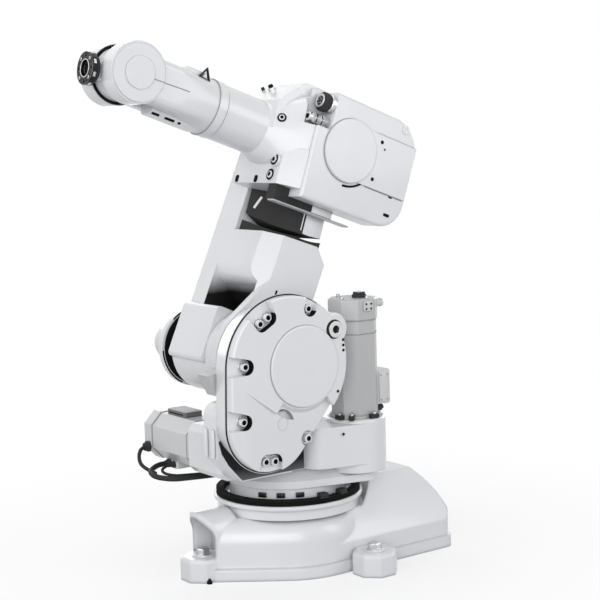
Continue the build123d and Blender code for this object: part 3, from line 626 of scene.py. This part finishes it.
def gear_cover_details():
    seats = []
    linings = []
    for places, pitch in ((single_screws, 0.0), (double_screws, screw_pitch)):
        for (x, z), lobe in places:
            seat = Vector((x, pocket_floor, z))
            step = (Vector((x, 0, z)) - lobe).normalized().cross(left) * pitch / 2
            seats += [seat + step, seat - step] if pitch else [seat]
            linings.append((pocket_shadow_lining((x, z), lobe, pitch), shoulder_frame))
    screw = socket_screw(cover_screw_radius, cover_screw_height)
    washer = ring(cover_screw_radius + washer_gap, cover_screw_radius + washer_reach, height=1.2, edge=0.3)
    on_shoulder("gear_cover_screws", "white_paint", screw, seats, left)
    on_shoulder("gear_cover_washers", "steel", washer, seats, left)
    # Dark linings of the pockets' inner walls, as painted shade
    piece("gear_cover_pocket_shadows", "frame", "recess", linings)

    joint_line = hull_path(upper_lobe, upper_lobe_radius + gasket_width / 2,
                           lower_lobe, lower_lobe_radius + gasket_width / 2, cover_foot)
    gasket = bead(joint_line, left, gasket_width, gasket_height, closed=True)
    on_shoulder("gear_cover_gasket", "recess", gasket)
    marks = [(x, cover_face, z) for x, z in grub_screws]
    on_shoulder("gear_cover_grub_screws", "recess", socket_screw(2.4, 0.8), marks, left)

    # Painted shade: a grey bar along the wall of the hollow
    hollow = bead([(x, hollow_floor, z) for x, z in hollow_wall], left, width=0.8, height=6.0)
    on_shoulder("gear_cover_hollow_lining", "seam", hollow)
    # Painted shadow: a dark sheet on the frame's wall under the gear housing's overhang
    shade = slab(facing_left(housing_shadow_outline), sheet, sheet_edge)
    on_shoulder("housing_recess_lining", "housing_shade", shade, [(0, recess_wall, 0)], left)
    blank = ring(inner=9.0, outer=10.4, height=0.5, edge=0.15)
    blank_place = (blank_x, cover_level(blank_x, lower_lobe), blank_z)
    on_shoulder("gear_cover_blank", "white_paint", blank, [blank_place], (-fall_slope, 1, 0))

    plug_gasket = ring(inner=13.2, outer=15.2, height=0.9)
    on_shoulder("oil_plug_gasket", "recess", plug_gasket, [(oil_plug_x, cover_face, oil_plug_z)], left)
    # Painted shade: a black hexagon socket sunk in the oil plug
    socket_place = (oil_plug_x, high("oil_plug", 1) - oil_plug_depth, oil_plug_z)
    on_shoulder("oil_plug_socket", "recess", socket_screw(6.2, 1.2), [socket_place], left)
    disc_radius = (high("gear_cover_disc", 0) - low("gear_cover_disc", 0)) / 2
    seal_and_gap_shadow = cord_ring(disc_radius + 0.3, thickness=1.0)
    on_shoulder("gear_disc_seal", "seam", seal_and_gap_shadow, [(0, cover_face, 0)], left)


# Frame: motors and turntable

motor_1_width = high("motor_1_body", 1) - low("motor_1_body", 1)
motor_1_half = motor_1_width / 2
motor_1_axis = Vector((middle("motor_1_body", 0), middle("motor_1_body", 1), 0))
motor_1_foot = low("motor_1_body", 2)
motor_1_top = high("motor_1_cap", 2)
motor_1_cap_out = 1.5  # the cap stands out past the body
motor_1_plug_level = motor_1_top - 12.0
motor_1_clip_out = 7.0  # from the motor's face to the middle of a clip
motor_1_clip_height = 7.0
boss_screw_place = (-22.4, 127.2, 227.4)
boss_screw_facing = (0.23, 0.97, 0)
motor_2_width = high("motor_2_body", 2) - low("motor_2_body", 2)
motor_corner = 20.0
cap_screw_inset = 8.0
plug_cable_steps = ((8, 0, 0), (17, 1, -4), (23, 5, -14), (25, 14, -25), (22, 30, -32), (16, 48, -37))
cable_level = 160.0
cable_exits = ((-146, 4.5), (-130, 2.5))  # place across the outlet and radius of each cable
box_strip_level = 249.0
box_strip_inset = 8.0
mount_face = 195.0
mount_rib_level = 236.0
neck_radius = 98.0
neck_clip_level = 131.0
neck_clip_sink = 0.4
neck_clip_angles = (30, 48, 66, 140, 200, 260, 320)


def octagon(width, corner):
    """Corners of a square with its corners cut off."""
    half = width / 2
    near = half - corner
    return [(half, near), (near, half), (-near, half), (-half, near),
            (-half, -near), (-near, -half), (near, -half), (half, -near)]


def octagon_band(width, corner, out, height):
    """Thin band round an eight-sided motor."""
    inner = octagon(width, corner)
    outer = octagon(width + 2 * out, corner)
    levels = ((inner, 0), (outer, 0), (outer, height), (inner, height))
    return joined([[Vector((x, y, level)) for x, y in outline] for outline, level in levels], closed=True)


def cap_screw_places(width):
    """Every second corner of a motor's end, moved in by the inset."""
    return octagon(width - 2 * cap_screw_inset, motor_corner)[::2]


def grid(centre, x_step, y, z_step):
    """Four places round a centre, lifted along Y."""
    return [centre + Vector((x, y, z)) for x in (-x_step, x_step) for z in (-z_step, z_step)]


def outward(angle):
    """Level direction away from axis 1, at an angle in degrees."""
    return Vector((math.cos(math.radians(angle)), math.sin(math.radians(angle)), 0))


def motor_1_details():
    def beside(x, y, z):
        return motor_1_axis + Vector((x, y, z))

    cap_foot = low("motor_1_cap", 2)
    seam = octagon_band(motor_1_width, motor_corner, out=0.5, height=1.4)
    joint_line = octagon_band(motor_1_width, motor_corner, out=0.9, height=2.0)
    piece("motor_1_seams", "frame", "seam",
          [(seam, spot(world_frame, beside(0, 0, cap_foot - 24), up)),
           (joint_line, spot(world_frame, beside(0, 0, cap_foot - 2), up))])
    flange = octagon_band(motor_1_width, motor_corner, out=3.0, height=5.0)
    on_frame("motor_1_foot_flange", "dark_grey_paint", flange, [beside(0, 0, motor_1_foot)], up)
    corners = [beside(x, y, motor_1_top) for x, y in cap_screw_places(motor_1_width)]
    on_frame("motor_1_cap_screws", "steel", socket_screw(3.2, 4.0), corners, up)

    clip = box((16, 9, motor_1_clip_height), edge=1.2)
    face = motor_1_half + motor_1_clip_out
    corner = motor_1_half * 0.75 + 5
    clips = []
    clip_tops = []
    for x, y, turn in ((face, 14, 90), (corner, corner, 45), (-6, face, 0)):
        place = beside(x, y, motor_1_foot)
        clips.append((clip, spot(world_frame, place, up, math.radians(turn))))
        clip_tops.append(place + up * motor_1_clip_height)
    piece("motor_1_clips", "frame", "black_plastic", clips)
    on_frame("motor_1_clip_screws", "steel", socket_screw(3.0, 3.0), clip_tops, up)

    grip = knurled(radius=12.0, depth=0.8, teeth=24)
    nut = stack([(grip, 0), (grip, 4.5), (10.2, 5.2), (10.1, 5.2)], count=96)
    plug_foot = node_point("motor_1_connector", middle, middle, low)
    on_frame("motor_1_plug_nut", "black_plastic", nut, [plug_foot], up)
    plug_cap = ring(inner=4.0, outer=7.5, height=0.8)
    plug_top = node_point("motor_1_connector", middle, middle, high)
    on_frame("motor_1_plug_cap", "steel", plug_cap, [plug_top], up)
    side_plug = stack([(7.5, 0), (7.5, 5), (6.0, 5.6), (6.0, 11), (6.8, 11.4), (6.8, 16),
                       (5.2, 16.6), (5.0, 14)], dark_from=6)
    side = beside(-motor_1_half - motor_1_cap_out, 8, motor_1_plug_level)
    on_frame("motor_1_side_plug", "grey_paint", side_plug, [side], back)

    plate_height = 3.0
    plate = slab(rounded(width=18, length=16, corner=3), plate_height, edge=0.8)
    plate_place = beside(-2, motor_1_half + motor_1_cap_out, motor_1_plug_level)
    on_frame("motor_1_face_plate", "grey_paint", plate, [plate_place], left)
    plate_corners = grid(plate_place, 5, plate_height, 4)
    on_frame("motor_1_face_plate_screws", "dark_metal", socket_screw(2.0, 0.8), plate_corners, left)

    lid_height = 1.4
    lid = slab(rounded(width=20, length=50, corner=3), lid_height, edge=0.5)
    lid_place = node_point("motor_1_terminal_box", middle, high, middle)
    on_frame("terminal_box_lid", "grey_paint", lid, [lid_place], left)
    lid_corners = grid(lid_place, 6.5, lid_height, 21)
    on_frame("terminal_box_screws", "steel", socket_screw(1.8, 1.0), lid_corners, left)
    gland_nut = stack([(hexagon(17), 0), (hexagon(17), 5.0), (7.4, 5.6)])
    gland_place = node_point("motor_1_gland", middle, middle, low) + up * 3
    on_frame("gland_nut", "black_plastic", gland_nut, [gland_place], up)
    on_frame("motor_boss_screw", "steel", socket_screw(4.0, 2.0), [boss_screw_place], boss_screw_facing)


def motor_2_details():
    middle_x = middle("motor_2_body", 0)
    middle_z = middle("motor_2_body", 2)
    seam = octagon_band(motor_2_width, motor_corner, out=0.6, height=1.6)
    seam_places = [(middle_x, y, middle_z)
                   for y in (high("motor_2_end_cap", 1) + 0.4, high("motor_2_body", 1) - 8)]
    on_frame("motor_2_seams", "seam", seam, seam_places, left)
    end = low("motor_2_end_cap", 1)
    corners = [(middle_x + x, end, middle_z + z) for x, z in cap_screw_places(motor_2_width)]
    on_frame("motor_2_cap_screws", "steel", socket_screw(3.2, 3.0), corners, right)

    plug = stack([(hexagon(17), 0), (hexagon(17), 5), (7.2, 5.4), (7.2, 9), (6.0, 10), (4.0, 10.4)])
    plug_place = Vector((high("motor_2_end_cap", 0), middle("motor_2_end_cap", 1) + 3, middle_z - 18))
    on_frame("motor_2_plug", "black_plastic", plug, [plug_place], forward)
    sheath = smooth_path([plug_place + Vector(step) for step in plug_cable_steps])
    on_frame("motor_2_plug_cable", "cable_rubber", hose(sheath, radius=3.2))
    boots = []
    for y, radius in cable_exits:
        boot = stack([(radius + 3.2, 0), (radius + 3.2, 3), (radius + 1.4, 4), (radius + 1.0, 8),
                      (radius + 0.1, 8.5)])
        exit_place = (high("motor_2_cable_outlet", 0), y, cable_level)
        boots.append((boot, spot(world_frame, exit_place, forward)))
    piece("motor_2_cable_boots", "frame", "black_plastic", boots)

    lid_side = high("motor_2_connector_box", 0)
    strip_ends = (low("motor_2_connector_box", 1) + box_strip_inset,
                  high("motor_2_connector_box", 1) - box_strip_inset)
    strip = bead([(lid_side, y, box_strip_level) for y in strip_ends], forward, width=2.0, height=0.5)
    on_frame("motor_2_box_gasket", "recess", strip)
    rib_places = [(mount_face, y, mount_rib_level) for y in (62, 82)]
    on_frame("motor_2_mount_ribs", "white_paint", box((9, 46, 5), edge=2.0), rib_places, forward)


def turntable_details():
    clip = box((14, 8, 3.5), edge=0.8)
    clips = []
    for angle in neck_clip_angles:
        place = outward(angle) * (neck_radius - neck_clip_sink) + up * neck_clip_level
        clips.append((clip, spot(world_frame, place, outward(angle))))
    piece("turntable_neck_clips", "frame", "dark_metal", clips)


# Base: bolts, clamps on the guide ring, levelling foot

lug_top = 37.0
lug_bolts = ((-55, 161), (-55, -161), (172, 0))
foot_place = (184, 36, 0)
ring_clamp_radius = 115.0
ring_clamp_sink = 1.5
ring_clamp_angles = (84, 104)


def base_details():
    lugs = [(x, y, lug_top) for x, y in lug_bolts]
    on_base("lug_bolts", "steel", hex_bolt(across=19, height=12, washer=14), lugs, up)
    on_base("lug_plates", "white_paint", ring(inner=7.0, outer=19.0, height=1.6, edge=0.4), lugs, up)
    foot = stack([(4.5, 0), (4.5, 4), (3.6, 5.2), (2.4, 5.4), (2.2, 8)])
    on_base("levelling_foot", "recess", foot, [foot_place], up)
    clamp = box((14, 16, 9), edge=2.0)
    clamp_level = high("cable_guide_ring", 2) - ring_clamp_sink
    clamps = []
    for angle in ring_clamp_angles:
        place = outward(angle) * ring_clamp_radius + up * clamp_level
        clamps.append((clamp, spot(world_frame, place, up, math.radians(angle))))
    piece("guide_ring_clamps", "base", "black_plastic", clamps)


# Lower arm: painted shade lining the open pocket, painted shadow in the gap by the near flange, and dark
# rims at the drum

pocket_far = -88.0
pocket_near = 26.0
pocket_middle = (pocket_far + pocket_near) / 2
pocket_lining_width = 113.0
pocket_slope = (Vector((30, pocket_middle, 110)), Vector((-12, pocket_middle, 76)))
pocket_floor_radius = 70.1
pocket_wall_radius = 70.8  # clear of the floor's lining
near_flange_face = 40.0
near_gap_place = 23.0
disc_face = -162.0
disc_rim_radius = 67.6
disc_rim_arcs = ((-85, -25), (25, 48))


def curved_lining(radius, start, end, y, width, thickness):
    """Thin sheet over part of a cylinder about the Y axis, between two angles in degrees."""
    profile = ((width / 2, 0), (width / 2, thickness), (-width / 2, thickness), (-width / 2, 0))
    loops = []
    for point in arc((0, 0), radius, start, end, y):
        radial = Vector((point.x, 0, point.z)).normalized()
        loops.append([point + left * across + radial * rise for across, rise in profile])
    return joined(loops)


def lower_arm_details():
    # Painted shade on the open pocket: sheets on its slope and far wall that turn black towards the bottom,
    # and a black sheet on its floor
    slope_normal = (pocket_slope[1] - pocket_slope[0]).cross(left)
    slope_lining = bead(pocket_slope, slope_normal, pocket_lining_width, sheet)
    on_arm("pocket_slope_lining", "pocket_shade", slope_lining)
    floor_lining = curved_lining(pocket_floor_radius, 101, 58, pocket_middle, pocket_lining_width, sheet)
    on_arm("pocket_floor_lining", "recess", floor_lining)
    roof = [(point.x, point.z) for point in arc((30, 140), 29.5, 0, -90, 0)]
    drum = [(point.x, point.z) for point in arc((0, 0), pocket_wall_radius, 98, 62, 0)]
    far_wall = [(59.5, 139.5)] + roof + [(-11.0, 77.5)] + drum + [(59.5, 62.5)]
    wall_lining = slab(facing_left(far_wall), sheet, sheet_edge)
    on_arm("pocket_wall_lining", "pocket_shade", wall_lining, [(0, pocket_far, 0)], left)

    # Painted shadow: a black ring in the gap beside the near flange
    gap = ring(inner=69.9, outer=71.2, height=3.0, edge=0.3)
    on_arm("near_flange_gap", "recess", gap, [(0, near_gap_place, 0)], left)
    disc_ring = ring(inner=53.0, outer=64.5, height=1.2)
    rims = [(disc_ring, spot(lower_frame, (0, disc_face, 0), left))]
    for start, end in disc_rim_arcs:
        rim = bead(arc((0, 0), disc_rim_radius, start, end, disc_face), left, width=2.4, height=1.2)
        rims.append((rim, lower_frame))
    piece("shoulder_disc_rims", "lower_arm", "recess", rims)
    dash = slab(rounded(width=3.5, length=9, corner=1.6), height=0.6)
    on_arm("near_flange_mark", "recess", dash, [(14.8, near_flange_face, 107)], left)


# Elbow: screws, slots, seams and connectors

band_face = 98.0
housing_face = 95.0
front_face = 103.0
tube_screw_place = (116.8, 54.1, 18.5)
tube_screw_facing = (0.63, 0.76, 0.19)
foot_screws = (((100.5, 49.4, -47.9), 6.0), ((front_face, 42.6, -72), 0.0))  # place and height of the boss
slope_facing = (0.7, 0, 0.71)
air_fitting_end = Vector((77, 80, 31))
signal_plug_foot = Vector((47, 80, 62))
signal_plug_length = 24.0
signal_pin_circle = 5.0
signal_pin_angles = (0.3, 1.6, 2.8, 4.1, 5.4)
cable_box_side = (0.85, 0.52, 0)
cable_box_end = 40.0
carrier_end = 62.0
forearm_joint = 212.6


def elbow_housing_details():
    band_screws = [(-57.5, band_face, 33.3), (-55.6, band_face, -30.4)]
    on_elbow("elbow_band_screws", "recess", socket_screw(3.2, 0.8), band_screws, left)
    on_elbow("elbow_band_mark", "seam", socket_screw(2.2, 0.6), [(-66, band_face, 23.5)], left)
    # Black slabs for a slot and a nick: painted shade in their openings
    slot = slab(rounded(width=13, length=5, corner=2.4), height=0.8)
    nick = slab(rounded(width=8, length=2.6, corner=1.2), height=0.7)
    piece("elbow_slots", "elbow", "recess", [(slot, spot(elbow_frame, (-104, housing_face, -78), left)),
                                             (nick, spot(elbow_frame, (-103, housing_face, -47.5), left))])
    boss = stack([(8, 0), (8, 0.8), (7.2, 1.4), (3.0, 1.4), (2.6, 0.8)])
    on_elbow("elbow_corner_boss", "white_paint", boss, [(-102, housing_face, 69)], left)
    lines = [bead([(-46, housing_face, z), (-128, housing_face, z)], left, width=1.2, height=0.7)
             for z in (-46, 46)]
    lines.append(bead(arc((0, 0), 52.4, -100, 100, housing_face, 60), left, width=1.0, height=0.8))
    piece("elbow_seams", "elbow", "seam", [(line, elbow_frame) for line in lines])
    # Painted shadow: a black arc under the round cover's rim
    shade = bead(arc((0, 0), 57.5, 269, 230, housing_face), left, width=3.4, height=1.2)
    on_elbow("elbow_cover_recess", "recess", shade)


def elbow_screw_details():
    tube_seat = spot(elbow_frame, tube_screw_place, Vector(tube_screw_facing).normalized())
    # Black rings round the screw heads: painted shadow in the gap round each head
    rims = [(ring(inner=4.8, outer=7.4, height=0.9), tube_seat)]
    screws = [(socket_screw(4.7, 2.4), tube_seat)]
    bosses = []
    for place, rise in foot_screws:
        top = rise + 1.2
        bosses.append((stack([(11, 0), (11, top - 0.6), (10.2, top)]), spot(elbow_frame, place, forward)))
        seat = spot(elbow_frame, Vector(place) + forward * top, forward)
        rims.append((ring(inner=6.2, outer=9.4, height=0.8), seat))
        screws.append((socket_screw(6.0, 2.4), seat))
    piece("elbow_screw_bosses", "elbow", "white_paint", bosses)
    piece("elbow_screw_rims", "elbow", "recess", rims)
    piece("elbow_screws", "elbow", "white_paint", screws)
    # Black slabs for slots in the foot: painted shade in their openings
    foot_slot = slab(rounded(width=9, length=12, corner=3), height=0.8)
    on_elbow("elbow_foot_slots", "recess", foot_slot, [(front_face, y, -79) for y in (3, -52)], forward)


def elbow_connector_details():
    nipple = stack([(hexagon(11), 0), (hexagon(11), 4.5), (4.2, 5), (4.2, 9), (3.4, 9.6)], dark_from=2)
    on_elbow("elbow_top_fitting", "steel", nipple, [(97, -24.7, 75.4)], slope_facing)
    on_elbow("elbow_top_screw", "dark_metal", socket_screw(3.0, 5.0), [(95, -54, 77.4)], slope_facing)
    nozzle = stack([(hexagon(15), 0), (hexagon(15), 3.0), (6.4, 3.6), (6.4, 8.0), (7.4, 8.4), (7.4, 10.0),
                    (6.6, 10.6), (4.4, 10.6), (4.2, 7.0)], dark_from=7)
    on_elbow("air_fitting_nozzle", "steel", nozzle, [air_fitting_end], forward)
    seals = [air_fitting_end + back * step for step in (3, 14)]
    on_elbow("air_fitting_seal", "recess", cord_ring(radius=8.6, thickness=2.0), seals, forward)

    sleeve = stack([(15.4, 0), (15.4, 8), (14.6, 8.8), (14.2, 8.8)], count=60)
    on_elbow("signal_sleeve", "steel", sleeve, [signal_plug_foot], forward)
    grip = knurled(radius=15.6, depth=1.0, teeth=28)
    on_elbow("signal_nut", "black_plastic", stack([(grip, 12), (grip, 21), (14.0, 21.6)], count=112),
             [signal_plug_foot], forward)
    plug_end = signal_plug_foot + forward * signal_plug_length
    on_elbow("signal_rim", "steel", ring(inner=8.0, outer=11.5, height=1.0, edge=0.3), [plug_end], forward)
    pins = [plug_end + across_x(angle) * signal_pin_circle for angle in signal_pin_angles]
    on_elbow("signal_pins", "steel", socket_screw(1.1, 2.0), pins, forward)


def cable_box_details():
    fold = bead([(63.4, -41.2, -117.9), (58.6, -33.3, -97.3)], cable_box_side, width=4.5, height=1.0)
    trim = bead([(15.5, 37.2, -106), (15.5, 37.2, -140)], cable_box_side, width=1.8, height=0.8)
    piece("cable_box_strips", "elbow", "white_paint", [(fold, elbow_frame), (trim, elbow_frame)])
    box_outline = [(13.0, -112.0), (13.0, -144.8), (0.0, -145.4), (-23.5, -143.4), (-23.5, -112.0)]
    box_plate = slab(facing_left(box_outline), height=0.8)
    carrier_outline = [(22.0, -110.5), (22.0, -99.3), (-19.5, -99.3), (-19.5, -110.5)]
    carrier_plate = slab(facing_left(carrier_outline), height=0.8)
    piece("cable_box_end_plates", "elbow", "white_paint",
          [(box_plate, spot(elbow_frame, (0, cable_box_end, 0), left)),
           (carrier_plate, spot(elbow_frame, (0, carrier_end, 0), left))])
    joint_seal = cord_ring(radius=45.2, thickness=1.0)
    on_elbow("forearm_joint_seal", "recess", joint_seal, [(forearm_joint, 0, 0)], forward)


# Forearm and wrist

latch_foot = 28.0
tube_seam = 229.6
strip_slots = ((273, 5), (291, 18), (317, 14))  # place along the forearm and length
strip_facing = (0, 0.707, -0.707)
tilt_gap_place = 16.55
dust_ring_place = 49.6
flange_face = 65.0
flange_rim_place = 60.0
flange_rim_radius = 24.8
flange_hole_circle = 20.0


def forearm_details():
    latch_corners = [(258, latch_foot, 51), (249, latch_foot, 33), (268, latch_foot, 34.5)]
    latch = bead(latch_corners, left, width=4.2, height=5.0, closed=True)
    on_forearm("latch_frame", "black_plastic", latch)
    insert = slab([(4.6, -3.6), (-5.2, -3.0), (0.6, 6.0)], height=3.4, edge=0.5)
    on_forearm("latch_insert", "white_paint", insert, [(258.2, latch_foot, 39)], left)
    hub_line = bead([(354.6, 52.5, -1.3), (336.5, 52.5, -0.4)], left, width=1.4, height=0.7)
    fork_line = bead([(335.5, 50, -0.3), (305, 50, 1.0), (288, 48.8, 1.8)], left, width=1.4, height=0.7)
    tube_ring = cord_ring(radius=46.3, thickness=1.0)
    piece("forearm_seams", "forearm", "seam", [(tube_ring, spot(elbow_frame, (tube_seam, 0, 0), forward)),
                                               (hub_line, elbow_frame), (fork_line, elbow_frame)])
    # Black slabs for slots in the strip: painted shade in their openings
    slots = []
    for x, length in strip_slots:
        slot = slab(rounded(length, 4.6, corner=1.5), height=0.6)
        slots.append((slot, spot(elbow_frame, (x, 14.6, -42.4), strip_facing)))
    piece("forearm_strip_slots", "forearm", "recess", slots)


def wrist_details():
    # Painted shadow: black rings in the gaps between the tilt housing and the fork arms
    seal_and_gap_shadow = ring(inner=37.0, outer=45.6, height=1.15)
    piece("tilt_gap_shadows", "wrist_tilt", "recess", [(seal_and_gap_shadow, spot(tool_frame, (0, tilt_gap_place, 0), left)),
                                                 (seal_and_gap_shadow, spot(tool_frame, (0, -tilt_gap_place, 0), right))])
    dust_ring = ring(inner=15.5, outer=21.0, height=4.0, edge=0.8)
    on_tilt("flange_dust_ring", "black_plastic", dust_ring, [(dust_ring_place, 0, 0)], forward)
    bore_rim = ring(inner=12.5, outer=14.2, height=0.5, edge=0.15)
    on_flange("flange_bore_rim", "steel", bore_rim, [(flange_face, 0, 0)], forward)
    pins = [forward * flange_face + across_x(math.radians(angle)) * flange_hole_circle
            for angle in (45, 135, 225, 315)]
    on_flange("flange_pins", "steel", socket_screw(2.6, 0.9), pins, forward)
    mark = box((4, 7, 0.7), edge=0.2)
    marks = []
    for step in range(8):
        around = across_x(math.radians(22.5 + 45 * step))
        place = forward * flange_rim_place + around * flange_rim_radius
        marks.append((mark, spot(tool_frame, place, around)))
    piece("flange_rim_marks", "flange", "steel", marks)


gear_cover_details()
motor_1_details()
motor_2_details()
turntable_details()
base_details()
lower_arm_details()
elbow_housing_details()
elbow_screw_details()
elbow_connector_details()
cable_box_details()
forearm_details()
wrist_details()


# Studio: camera, floor and light

camera_azimuth = 0.6241
camera_elevation = 0.1121
camera_distance = 2.3662
camera_roll = -0.0295
camera_target = Vector((-0.0363, 0, 0.43457))
focal_pixels = 1411.3
frame_pixels = 600
sensor_width = 36.0

view_right = Vector((-math.cos(camera_azimuth), math.sin(camera_azimuth), 0))
view_back = Vector((math.sin(camera_azimuth) * math.cos(camera_elevation),
                    math.cos(camera_azimuth) * math.cos(camera_elevation), math.sin(camera_elevation)))
view_up = view_back.cross(view_right)

room_colour = (0.96, 0.98, 1.0, 1)
room_strength = 0.28
backdrop_white = (1, 1, 1, 1)
floor_radius = 12.0
floor_corners = 64
floor_pale = ((0.86, 0.86, 0.87, 1), (0.90, 0.90, 0.91, 1))
floor_bounce = (0.35, 0.35, 0.36, 1)  # what the floor gives back to the robot
floor_grain = 90.0
fade_start = 0.35  # the floor passes into the backdrop between these distances
fade_end = 0.9
fade_least = 0.65

# Each lamp: metres to the view's right, towards the camera and up from the target, its size and its level
lamps = {
    "key": ((-1.6, 1.0, 1.0), (1.6, 1.6), 0.37),
    "fill": ((0.0, 3.0, 0.2), (2.0, 2.0), 0.52),
    "side": ((2.2, 0.8, 0.8), (0.8, 1.6), 0.22),
    "top": ((0.0, -0.3, 2.4), (1.8, 1.2), 0.22),
    "back_left": ((-1.0, -2.4, 0.9), (1.6, 1.6), 0.24),
    "back_right": ((1.4, -2.2, 0.9), (1.6, 1.6), 0.28),
}


def make_camera():
    turned_right = view_right * math.cos(camera_roll) + view_up * math.sin(camera_roll)
    turned_up = view_up * math.cos(camera_roll) - view_right * math.sin(camera_roll)
    matrix = Matrix((turned_right, turned_up, view_back)).transposed().to_4x4()
    matrix.translation = camera_target + view_back * camera_distance
    data = bpy.data.cameras.new("camera")
    data.sensor_width = sensor_width
    data.lens = focal_pixels / frame_pixels * sensor_width
    camera = bpy.data.objects.new("camera", data)
    camera.matrix_world = matrix
    bpy.context.collection.objects.link(camera)
    bpy.context.scene.camera = camera


def soft_box(name, offset, size, level):
    """Rectangular lamp turned to the robot; a level of 1 lights a facing surface to its own colour."""
    away = view_right * offset[0] + view_back * offset[1] + up * offset[2]
    data = bpy.data.lights.new(name, "AREA")
    data.shape = "RECTANGLE"
    data.size, data.size_y = size
    data.energy = level * math.pi ** 2 * away.length_squared
    lamp = bpy.data.objects.new(name, data)
    lamp.location = camera_target + away
    lamp.rotation_euler = away.to_track_quat("Z", "Y").to_euler()
    bpy.context.collection.objects.link(lamp)


def make_world():
    """Even studio light, white where the camera or a reflection looks at the backdrop."""
    world = bpy.data.worlds.new("studio")
    bpy.context.scene.world = world
    world.use_nodes = True
    tree = world.node_tree
    room = tree.nodes["Background"]
    feed(tree, room, ("Color", room_colour), ("Strength", room_strength))
    backdrop = add(tree, "ShaderNodeBackground", (("Color", backdrop_white), ("Strength", 1.0)))
    ray = add(tree, "ShaderNodeLightPath").outputs
    seen = reckoned(tree, "MAXIMUM", ray["Is Camera Ray"], ray["Is Transmission Ray"])
    seen = reckoned(tree, "MAXIMUM", seen, ray["Is Glossy Ray"])
    both = add(tree, "ShaderNodeMixShader", ((0, seen), (1, room.outputs[0]), (2, backdrop.outputs[0])))
    feed(tree, tree.nodes["World Output"], ("Surface", both.outputs[0]))


def floor_material():
    """Pale floor that keeps the shadow and passes into the white backdrop away from the robot."""
    made, tree, shader = start_material("studio_floor")
    place = object_coordinates(tree)
    pale = mixed(tree, noise(tree, place, floor_grain, detail=3.0), *floor_pale)
    glow = add(tree, "ShaderNodeEmission", (("Color", backdrop_white), ("Strength", 1.0)))
    distance = add(tree, "ShaderNodeVectorMath", ((0, place),), operation="LENGTH").outputs["Value"]
    fade = ranged(tree, distance, fade_least, 1.0, fade_start, fade_end)
    ray = add(tree, "ShaderNodeLightPath").outputs
    seen = reckoned(tree, "MAXIMUM", ray["Is Camera Ray"], ray["Is Glossy Ray"])
    feed(tree, shader, ("Base Color", mixed(tree, seen, floor_bounce, pale)), ("Roughness", 0.7))
    both = add(tree, "ShaderNodeMixShader", ((0, reckoned(tree, "MULTIPLY", fade, seen)),
                                             (1, shader.outputs[0]), (2, glow.outputs[0])))
    feed(tree, tree.nodes["Material Output"], ("Surface", both.outputs[0]))
    return made


def make_floor():
    mesh = bpy.data.meshes.new("studio_floor")
    turns = [math.tau * step / floor_corners for step in range(floor_corners)]
    rim = [(floor_radius * math.cos(turn), floor_radius * math.sin(turn), 0) for turn in turns]
    mesh.from_pydata(rim, [], [tuple(range(floor_corners))])
    mesh.materials.append(floor_material())
    floor = bpy.data.objects.new("studio_floor", mesh)
    bpy.context.collection.objects.link(floor)


make_camera()
make_world()
make_floor()
for name, (offset, size, level) in lamps.items():
    soft_box(name, offset, size, level)
bpy.context.scene.view_settings.view_transform = "Standard"
